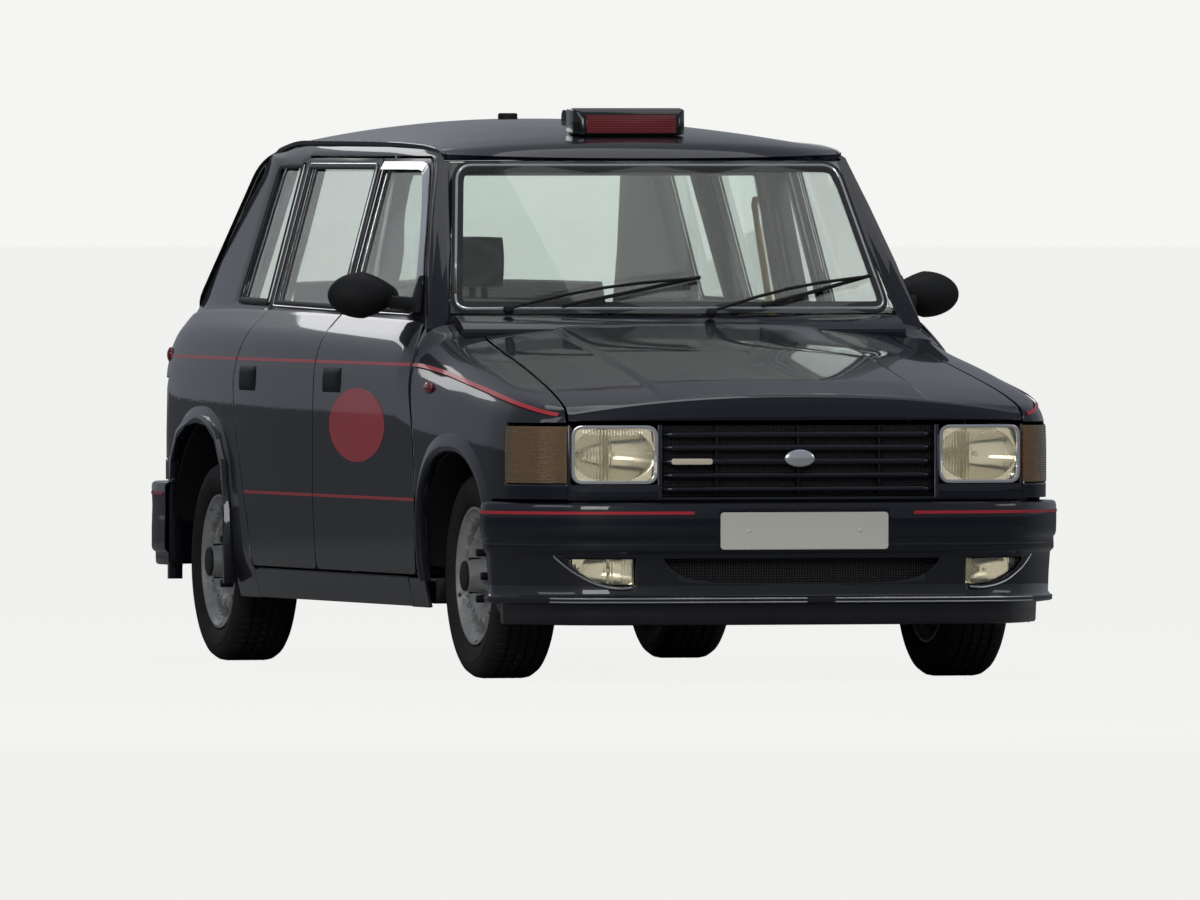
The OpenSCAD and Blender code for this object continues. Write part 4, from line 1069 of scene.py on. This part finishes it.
# ---------- glass ----------
# Laminated screens bonded into black rubber with a bright bead, and toughened
# panes in the doors and quarters, tinted a little green.
window_glass, tree, shader, place = new_material("laminated window glass", "ECF2EF", 0.01, IOR=1.45,
                                                 Transmission_Weight=1.0)
# rain marks and wiped film: cloudy patches about 120 mm across
film = add_node(tree, "TexNoise", {"Vector": place, "Scale": 8.0, "Detail": 5.0})
haze = add_node(tree, "MapRange", {"Value": film.outputs["Fac"], "From Min": 0.5, "From Max": 0.75,
                                   "To Min": 0.0, "To Max": 0.06})
tree.links.new(haze.outputs["Result"], shader.inputs["Roughness"])
rubber, tree, shader, place = new_material("extruded black rubber seal", "0D0E10", 0.55)
roughened(tree, shader, place, 500, 0.0003, 0.6)


def front_screen_at(x, z):
    """The windscreen's outer face."""
    return Vector((x, 1400.6 + (z - 1090) * 0.659 - 55 * (1 - (x / 640) ** 2), z))


def rear_screen_at(x, z):
    """The rear screen's outer face."""
    bow = (10 + (z - 1073) * 0.075) * (1 - (x / (672 - (z - 1086) * 0.196)) ** 2)
    return Vector((x, 4259.9 - (z - 1073) * 0.971 + bow, z))


def upper_at(s, z):
    """The outer face of the windows' plane on the left side."""
    t = (z - belt(s)) / (FRAME_TOP - belt(s))
    return Vector(((flank(s, 1060).x - 2) * (1 - t) + rail(s) * t, s, z))


def edging(name, outline, wide, surface, lift, steps=3):
    """A raised strip inside an outline that lies on a curved surface."""
    inner = grown(outline, -wide)
    count = len(outline)

    def place(u, v):
        i = u * count
        k = int(i) % count
        a = Vector(outline[k]).lerp(Vector(outline[(k + 1) % count]), i - int(i))
        b = Vector(inner[k]).lerp(Vector(inner[(k + 1) % count]), i - int(i))
        spot = a.lerp(b, v)
        return surface(spot.x, spot.y) + Vector(lift) * math.sin(math.pi * (0.1 + 0.8 * v))
    strip = pressed(name, place, count * steps, 4, 1.5)
    return smooth(merged(strip, 0.0001), 50)


# Screens: [name, surface, way across, half width at foot and head, foot, lift]
for name, surface, way, foot_half, head_half, foot, lift in (
        ("windscreen", front_screen_at, 1, 690, 604, 1080, (0, -3, 2)),
        ("rear_screen", rear_screen_at, -1, 672, 584, 1071, (0, 3, 2))):
    def screen_place(u, v):
        z = foot + (1536 - foot) * v
        half = foot_half + (head_half - foot_half) * v
        return surface(way * (2 * u - 1) * half, z)
    pane = smooth(pressed(name + "_pane", screen_place, 40, 24, 5), 40)
    finished(pane, "body", window_glass, name)
    corners = [(-foot_half, foot), (foot_half, foot), (head_half, 1536), (-head_half, 1536)]
    if way < 0:
        corners = [(x, z) for x, z in reversed(corners)]
    band = rounded(corners, 60, 8)
    finished(edging(name + "_seal", band, 34, surface, lift), "body", rubber)
    bead = edging(name + "_bead", grown(band, -9), 9, surface, [v * 2 for v in lift])
    finished(bead, "body", bright_trim)

FRONT_WINDOW = [(1546, 1086), (2256, 1094), (2256, 1518), (1808, 1518), (1780, 1506), (1508, 1160),
                (1510, 1120)]
REAR_WINDOW = [(2350, 1094), (3118, 1104), (3122, 1518), (2350, 1518)]
QUARTER_WINDOW = [(3206, 1104), (3590, 1108), (3596, 1130), (3560, 1500), (3540, 1522), (3220, 1524)]
# Door windows: [word, outline]
for word, outline in (("front", FRONT_WINDOW), ("rear", REAR_WINDOW)):
    for side in ("left", "right"):
        node = "%s_door_glass_%s" % (word, side)
        pane = cad_copy(node, node + "_pane", width=0)
        finished(pane, "door_%s_%s" % (word, side), window_glass, node)
    seal = edging(word + "_door_seal", rounded(grown(outline, 7), 22), 15, upper_at, (3.2, 0, 0))
    bead = edging(word + "_door_bead", rounded(grown(outline, 12), 24), 5, upper_at, (3.4, 0, 0))
    paired(seal, "door_%s_left" % word, rubber)
    paired(bead, "door_%s_left" % word, bright_trim)
pane = cad_copy("quarter_glass", "quarter_panes", width=0)
finished(pane, "body", window_glass, "quarter_glass")
seal = edging("quarter_seal", rounded(grown(QUARTER_WINDOW, 9), 22), 20, upper_at, (4, 0, 0))
paired(seal, "body", rubber)


def deflector_place(u, v):
    """A bright wind deflector that arches over the front door window and down its front edge."""
    line = threaded([(1494, 1150), (1600, 1304), (1744, 1478), (1812, 1528), (1960, 1534),
                     (2262, 1534)], 10)
    i = u * (len(line) - 1)
    k = min(int(i), len(line) - 2)
    s, z = Vector(line[k]).lerp(Vector(line[k + 1]), i - k)
    spot = upper_at(s, z)
    return spot + Vector((2 + 13 * v, (20 if s < 1800 else 0) * v, -24 * v))


deflector = smooth(pressed("wind_deflector_left", deflector_place, 80, 4, 2), 40)
paired(deflector, "door_front_left", bright_trim)

# ---------- handles, stripes and discs ----------
# Moulded black pull handles in the doors; thin red striping and a plain red oval
# transfer on each front door, which carry no lettering.
for word, middle, high in (("front", 2100, 876), ("rear", 3080, 873)):
    def handle_place(u, v):
        a, b = 2 * u - 1, 2 * v - 1
        lift = 9 * (1 - a ** 6) * (1 - abs(b) ** 4)
        return flank_at(middle + 100 * a, high + 37 * b) + Vector((1.2 + lift, 0, 0))
    flap = smooth(pressed(word + "_handle_left", handle_place, 40, 20, 2), 40)
    paired(flap, "door_%s_left" % word, moulded_black)
upper_line = smooth_curve([(97, 786), (305, 826), (700, 878), (1000, 911), (1276, 929), (4460, 933)])
# Stripes: [piece, body, first, last, height of the middle, width]
for label, body, first, last, level, wide in (
        ("wing_stripe", "body", 120, 1272, upper_line, 10),
        ("front_door_stripe", "door_front_left", 1292, 2298, upper_line, 10),
        ("rear_door_stripe", "door_rear_left", 2310, 3232, upper_line, 10),
        ("quarter_stripe", "body", 3254, 4380, upper_line, 10),
        ("front_door_low_stripe", "door_front_left", 1178, 2298, lambda s: 527, 9),
        ("rear_door_low_stripe", "door_rear_left", 2310, 3112, lambda s: 527, 9)):
    def stripe_place(u, v):
        s = first + (last - first) * u
        return flank_at(s, level(s) + wide * (v - 0.5)) + Vector((1.6, 0, 0))
    stripe = smooth(pressed(label + "_left", stripe_place, 90, 2, 0.8))
    paired(stripe, body, striping)
disc = pressed("door_disc_left", lambda u, v: flank_at(1806 + 640 * (u - 0.5), 743 + 240 * (v - 0.5))
               + Vector((1.6, 0, 0)), 60, 30, 0.8)
oval = [(1806 + 307 * math.cos(k * math.pi / 48), 743 + 111 * math.sin(k * math.pi / 48))
        for k in range(96)]
cut(disc, block(oval, 500, 1000), "INTERSECT")
paired(smooth(disc), "door_front_left", striping)


def ball(name, x, s, z, a, b, c, segments=32):
    """A smooth ellipsoid by its centre and half sizes in millimetres."""
    bpy.ops.object.select_all(action="DESELECT")
    bpy.ops.mesh.primitive_uv_sphere_add(segments=segments, ring_count=segments // 2, radius=1)
    piece = bpy.context.object
    piece.name = name
    piece.data.transform(Matrix.Translation(at(x, s, z)) @ Matrix.Diagonal((a / 1000, b / 1000, c / 1000, 1)))
    return smooth(piece, 60)


for label, s, z, long, tall in (("side_repeater", 1060, 861, 42, 18), ("shoulder_lens", 4330, 935, 16, 24)):
    lens = ball(label + "_left", flank_at(s, z).x, s, z, 12, long, tall)
    paired(lens, "body", red_lens)

# ---------- mirrors ----------
# Moulded black heads on short arms, with silvered glass facing back, standing on
# a three-cornered base at the front of each window.
mirror_glass, tree, shader, place = new_material("silvered mirror glass", "B8BCC0", 0.03, Metallic=1.0)
roughened(tree, shader, place, 15, 0.00002, 0.3)
for side in ("left", "right"):
    sign = 1 if side == "left" else -1
    body = "door_front_" + side
    arm = cad_copy("mirror_" + side, "mirror_arm_" + side, width=0)
    cut(arm, block([(-820, 1000), (820, 1000), (820, 1250), (-820, 1250)], 1300, 1800, "s"), "INTERSECT")
    finished(smooth(arm, 50), body, moulded_black, "mirror_" + side)
    head = ball("mirror_head_" + side, sign * 878, 1700, 1134, 110, 62, 70, 48)
    for point in head.data.vertices:
        taper = 1 - 0.4 * min(max((0.878 - abs(point.co.x)) / 0.11, 0), 1)
        point.co.z = 1.134 + (point.co.z - 1.134) * taper
    cut(head, block(box_rows(-1100, 1100, 1000, 1300), 1738, 1900, "s"))
    softened(head, 3, 3, 50)
    finished(head, body, moulded_black)
    glass = ball("mirror_glass_" + side, sign * 890, 1737, 1134, 76, 3, 50, 40)
    finished(glass, body, mirror_glass)
    base = [(1452, 1082), (1546, 1084), (1532, 1160), (1518, 1196)]
    sail = softened(block(base, 722, 742), 5, 3)
    for point in sail.data.vertices:
        s, z = point.co.y * 1000 + HALF_LENGTH, point.co.z * 1000
        out = point.co.x * 1000 - 732
        point.co.x = sign * (upper_at(s, z).x + 5 + out) / 1000
    if sign < 0:
        sail.data.flip_normals()
    sail.name = "mirror_base_" + side
    finished(sail, body, moulded_black)

# ---------- roof sign and aerials ----------
# A streamlined moulded sign on the roof with a dark display, left blank, given a painted dull red glow;
# behind it a short fin and a round aerial base.
sign_black, tree, shader, place = new_material("gloss black sign moulding", "07080A", 0.22, Coat_Weight=0.7)
roughened(tree, shader, place, 50, 0.0001, 0.5)
sign_body = cad_copy("roof_sign", "roof_sign_moulding", width=7, angle=30, segments=4)
finished(sign_body, "body", sign_black, "roof_sign")
display, tree, shader, place = new_material("dark display window", "120406", 0.15, Coat_Weight=1.0)
# rows of unlit lamps at a 7 mm pitch behind dark red plastic, shown with a painted dull red glow
dots = add_node(tree, "TexWave", {"Vector": place, "Scale": 45.0}, bands_direction="X")
rows = add_node(tree, "TexWave", {"Vector": place, "Scale": 45.0}, bands_direction="Z")
both = add_node(tree, "Math", {0: dots.outputs["Fac"], 1: rows.outputs["Fac"]}, operation="MULTIPLY")
tree.links.new(mixed(tree, both.outputs["Value"], tone("2A0507"), tone("B0121A")),
               shader.inputs["Emission Color"])
# painted glow: the unlit display is made to give off a dull red light
shader.inputs["Emission Strength"].default_value = 0.55


def display_place(u, v):
    """The sign's sloping display window."""
    x, z = 280 * (u - 0.5), 1622 + 52 * v
    return Vector((x, max(1832 + 8 * abs(x) / 155, 1820 + (z - 1612) * 30 / 78) - 1.8, z))


finished(smooth(pressed("roof_sign_display", display_place, 30, 10, 2)), "body", display)
puck = softened(block([(30 * math.cos(k * math.pi / 20), 3200 + 30 * math.sin(k * math.pi / 20))
                       for k in range(40)], 1648, 1682, "z"), 6, 4)
puck.name = "aerial_base"
finished(puck, "body", moulded_black)
fin = softened(block([(2512, 1650), (2590, 1650), (2586, 1680), (2572, 1692)], -6, 6), 3, 3)
fin.name = "aerial_fin"
finished(fin, "body", moulded_black)


# ---------- wipers ----------
# Sprung steel arms, black, with rubber blades lying on the screen.
def tube(name, points, radius, around=10):
    """A round bar through the points, closed at both ends."""
    path = [Vector(p) for p in points]

    def place(u, v):
        i = u * (len(path) + 1) - 1
        k = min(max(int(i), 0), len(path) - 2)
        here = path[k].lerp(path[k + 1], min(max(i - k, 0), 1))
        along = (path[k + 1] - path[k]).normalized()
        side = along.cross(Vector((0, 0, 1)) if abs(along.z) < 0.9 else Vector((1, 0, 0))).normalized()
        up = side.cross(along)
        reach = radius if 0.001 < u < 0.999 else 0
        return here + (side * math.cos(2 * math.pi * v) + up * math.sin(2 * math.pi * v)) * reach
    piece = pressed(name, place, (len(path) + 1) * 2, around, 0)
    return smooth(merged(piece, 0.00005, outwards=True), 50)


# Wipers: [pivot x, s, z, tip x, tip z]
made = []
for x, s, z, tip_x, tip_z in ((-526, 1344, 1084, 62, 1184), (97, 1312, 1074, 612, 1188)):
    tip = front_screen_at(tip_x, tip_z) + Vector((0, -30, 0))
    pivot = Vector((x, s, z + 12))
    made.append(tube("arm", [pivot.lerp(tip, t) + Vector((0, 0, 16 * math.sin(math.pi * t)))
                             for t in (0, 0.1, 0.3, 0.5, 0.7, 0.9, 1)], 5))
    blade = [front_screen_at(x + 170 + (tip_x + 24 - x - 170) * t, 1102 + (tip_z - 1098) * t)
             + Vector((0, -15, 0)) for t in [k / 10 for k in range(11)]]
    made.append(tube("blade", blade, 6))
    made.append(ball("cap", x, s, z + 8, 17, 17, 15))
finished(joined("wiper_set", made), "body", moulded_black, "wipers")


# ---------- wheels ----------
# Moulded tyres with a blocked tread on pressed steel wheels sprayed silver; five
# long nuts stand round a dark hub.
def wheel_skin(name, profile, around, x, s, ripple=None):
    """A closed profile of (reach, across) carried round a wheel's axle."""
    ring = profile + [profile[0]]

    def place(u, v):
        turn = 2 * math.pi * u
        i = v * (len(ring) - 1)
        k = min(int(i + 1e-6), len(ring) - 2)
        reach, over = Vector(ring[k]).lerp(Vector(ring[k + 1]), i - k)
        if ripple:
            reach -= ripple(turn, over, reach)
        return Vector((x + over, s - reach * math.cos(turn), HUB_HEIGHT + reach * math.sin(turn)))
    piece = pressed(name, place, around, len(ring) - 1, 0)
    return smooth(merged(piece, 0.00002, outwards=True), 32)


def tread(turn, over, reach):
    """Depth of the tread: four grooves round the tyre, and slots across its blocks."""
    if reach < 299:
        return 0
    across = min(abs(abs(over) - g) for g in (14, 44))
    if across < 4.1:
        return 7
    step = (turn / (2 * math.pi) * 64 + (0.3 if abs(over) > 29 else 0)) % 1
    return 4.5 if step < 0.17 else 0


SIDEWALL = [(193.6, 76), (209, 77), (219, 89), (236, 96), (252, 97.6), (256, 99), (260, 97.6), (272, 97),
            (284, 93), (291, 89), (297, 81), (302, 73.5), (304.2, 62)]
GROOVES = [62, 56, 49, 48.1, 40, 39.8, 30, 18.2, 18, 10, 9.8, 0]
tyre_rows = (SIDEWALL + [(305, g) for g in GROOVES[1:]] + [(305, -g) for g in reversed(GROOVES[1:-1])]
             + [(r, -x) for r, x in reversed(SIDEWALL)]
             + [(193.6, -52), (219, -66), (271, -80), (287, -62), (290, -20), (290, 20), (287, 62), (271, 80),
                (219, 66), (193.6, 52)])
tyre_rubber, tree, shader, place = new_material("moulded tyre rubber", "17181A", 0.72,
                                                Specular_IOR_Level=0.3)
# road dust that lies in patches on the sidewall
dust = add_node(tree, "TexNoise", {"Vector": place, "Scale": 14.0, "Detail": 6.0})
tree.links.new(mixed(tree, dust.outputs["Fac"], tone("111214"), tone("34322F")), shader.inputs["Base Color"])
roughened(tree, shader, place, 800, 0.0003, 0.6)
wheel_paint, tree, shader, place = new_material("silver wheel enamel", "B9BCBF", 0.38, Metallic=0.25)
# brake dust gathers in the hollows of the dish
dust = add_node(tree, "TexNoise", {"Vector": place, "Scale": 22.0, "Detail": 6.0})
tree.links.new(mixed(tree, dust.outputs["Fac"], tone("C2C5C8"), tone("8A857C")), shader.inputs["Base Color"])
roughened(tree, shader, place, 150, 0.0002, 0.5)
hub_iron, tree, shader, place = new_material("oiled dark hub iron", "26262A", 0.5, Metallic=0.7)
roughened(tree, shader, place, 180, 0.0005)
for end in ("front", "rear"):
    for side in ("left", "right"):
        sign = 1 if side == "left" else -1
        tag = "_%s_%s" % (end, side)
        x = sign * (700 if end == "front" else 695)
        s = WHEELS_AT[end]
        body = "wheel" + tag
        tyre = wheel_skin("tyre_moulding" + tag, tyre_rows, 384, x, s, tread)
        finished(tyre, body, tyre_rubber, "tyre" + tag)
        disc = cad_copy("rim" + tag, "wheel_disc" + tag, width=0, angle=30)
        finished(disc, body, wheel_paint, "rim" + tag)
        nuts = []
        for k in range(5):
            turn = 2 * math.pi * (k + 0.5) / 5
            y, z = s + 72 * math.cos(turn), HUB_HEIGHT + 72 * math.sin(turn)
            rows = [(y + 13 * math.cos(a * math.pi / 3), z + 13 * math.sin(a * math.pi / 3))
                    for a in range(6)]
            low, high = sorted((x + sign * 46, x + sign * 84))
            nuts.append(softened(block(rows, low, high), 2.5, 3, 50))
        rows = [(s + 45 * math.cos(a * math.pi / 24), HUB_HEIGHT + 45 * math.sin(a * math.pi / 24))
                for a in range(48)]
        low, high = sorted((x + sign * 108, x + sign * 118))
        nuts.append(softened(block(rows, low, high), 4, 3, 50))
        finished(joined("hub_and_nuts" + tag, nuts), body, hub_iron)

# ---------- cabin ----------
# A padded dashboard, a steering wheel, a glazed steel partition with yellow grab
# handles, and foam seats in woven cloth with sewn channels.
dash = cad_copy("dashboard", "dashboard_moulding", width=14, angle=25, segments=4)
finished(dash, "body", trim_vinyl, "dashboard")
wheel = cad_copy("steering_wheel", "steering_wheel_moulding", width=0, angle=40)
finished(wheel, "body", moulded_black, "steering_wheel")
screen = cad_copy("partition", "partition_panel", width=4, segments=3)
finished(screen, "body", trim_vinyl, "partition")
pane = cad_copy("partition_glass", "partition_pane", width=0)
finished(pane, "body", window_glass, "partition_glass")
grab_yellow, tree, shader, place = new_material("dipped yellow grab handle", "E3B50F", 0.4, Coat_Weight=0.3)
roughened(tree, shader, place, 120, 0.0003, 0.5)
for label, x in (("left", 640), ("right", -640)):
    line = [(x * 0.98, 2462, 1060), (x * 0.98, 2482, 1075), (x * 0.94, 2484, 1240),
            (x * 0.9, 2484, 1400), (x * 0.895, 2462, 1418)]
    rail_bar = tube("grab_rail_" + label, line, 11, 14)
    finished(rail_bar, "body", grab_yellow)
seat_cloth, tree, shader, place = new_material("woven seat cloth", "2E3036", 0.95, Sheen_Weight=0.4)
# a basket weave drawn at 4 mm, twice its real pitch so that it shows
warp = add_node(tree, "TexWave", {"Vector": place, "Scale": 80.0}, bands_direction="X")
weft = add_node(tree, "TexWave", {"Vector": place, "Scale": 80.0}, bands_direction="Y")
cross = add_node(tree, "Math", {0: warp.outputs["Fac"], 1: weft.outputs["Fac"]}, operation="MULTIPLY")
tree.links.new(mixed(tree, cross.outputs["Value"], tone("24262B"), tone("474A52")),
               shader.inputs["Base Color"])
bump = add_node(tree, "Bump", {"Height": cross.outputs["Value"], "Distance": 0.0008})
tree.links.new(bump.outputs["Normal"], shader.inputs["Normal"])


def cushion(name, box, channels=0, lean=0.0, crown=0.14):
    """A stuffed form in a box of (x0, x1, s0, s1, z0, z1), with sewn channels across it."""
    x0, x1, s0, s1, z0, z1 = box
    bpy.ops.object.select_all(action="DESELECT")
    bpy.ops.mesh.primitive_cube_add(size=2)
    piece = bpy.context.object
    piece.name = name
    bpy.ops.object.mode_set(mode="EDIT")
    bpy.ops.mesh.select_all(action="SELECT")
    bpy.ops.mesh.subdivide(number_cuts=31)
    bpy.ops.object.mode_set(mode="OBJECT")
    flat = min(range(3), key=lambda i: (x1 - x0, s1 - s0, z1 - z0)[i])
    long = 0 if flat != 0 else 2
    for point in piece.data.vertices:
        a, b, c = point.co
        out = []
        for i, (p, q, r) in enumerate(((a, b, c), (b, c, a), (c, a, b))):
            out.append(p * (1 - crown * 0.5 * (q * q + r * r) * (1.6 if i == flat else 0.45)))
        if channels:
            wave = abs(math.cos(point.co[long] * math.pi * channels / 2))
            out[flat] *= 1 - 0.10 * max(0, 1 - wave * 5)
        high = (out[2] + 1) / 2
        point.co = at((x0 + x1) / 2 + out[0] * (x1 - x0) / 2,
                      (s0 + s1) / 2 + out[1] * (s1 - s0) / 2 + lean * high,
                      (z0 + z1) / 2 + out[2] * (z1 - z0) / 2)
    return smooth(piece, 60)


# Seats: [node, pads of (name, box, channels, lean), boxes of the frame under them]
for node, pads, frames in (
        ("driver_seat", (("driver_cushion", (-610, -130, 1902, 2378, 474, 592), 4, 0),
                         ("driver_backrest", (-610, -130, 2292, 2392, 594, 1118), 4, 18),
                         ("driver_headrest", (-490, -250, 2346, 2412, 1152, 1306), 0, 0)),
         ((-560, -180, 1940, 2340, 313, 478), (-440, -420, 2364, 2376, 1096, 1164),
          (-320, -300, 2364, 2376, 1096, 1164))),
        ("tip_up_seats", (("left_tip_up_pad", (132, 598, 2456, 2528, 562, 1006), 3, 0),
                          ("right_tip_up_pad", (-598, -132, 2456, 2528, 562, 1006), 3, 0)), ()),
        ("rear_seat", (("bench_cushion", (-508, 508, 3176, 3698, 566, 708), 6, 0),
                       ("bench_backrest", (-508, 508, 3668, 3758, 590, 1170), 6, 160)), ())):
    for k, (name, box, channels, lean) in enumerate(pads):
        pad = cushion(name, box, channels, lean)
        finished(pad, "body", seat_cloth, *([node] if k == 0 else []))
    for k, (x0, x1, s0, s1, z0, z1) in enumerate(frames):
        base = softened(block(box_rows(s0, s1, z0, z1), x0, x1), 4, 3)
        base.name = node + "_frame_%d" % (k + 1)
        finished(base, "body", moulded_black)

# ---------- running gear ----------
# Box-section chassis, pressed floor and lead coated tank under thick black wax, cast iron engine and heat
# stained exhaust.
chassis_wax, tree, shader, place = new_material("black underbody wax", "18181A", 0.7)
mud = add_node(tree, "TexNoise", {"Vector": place, "Scale": 6.0, "Detail": 8.0})
tree.links.new(mixed(tree, mud.outputs["Fac"], tone("141416"), tone("3B3630")), shader.inputs["Base Color"])
roughened(tree, shader, place, 90, 0.0015)
cast_iron, tree, shader, place = new_material("rough cast iron", "3A3A3C", 0.65, Metallic=0.5)
roughened(tree, shader, place, 250, 0.0008)
burnt_steel, tree, shader, place = new_material("heat stained exhaust steel", "5A524A", 0.5, Metallic=0.8)
rust = add_node(tree, "TexNoise", {"Vector": place, "Scale": 18.0, "Detail": 8.0})
tree.links.new(mixed(tree, rust.outputs["Fac"], tone("5E5A55"), tone("6B4023")), shader.inputs["Base Color"])
roughened(tree, shader, place, 160, 0.0006)
for material, nodes in (
        (chassis_wax, ("chassis_frame", "floor_pan", "fuel_tank", "front_suspension", "rear_axle")),
        (cast_iron, ("engine_block", "knuckle_right", "knuckle_left")),
        (burnt_steel, ("exhaust",))):
    for node in nodes:
        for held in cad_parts[node].material_slots:
            held.link = "OBJECT"
            held.material = material
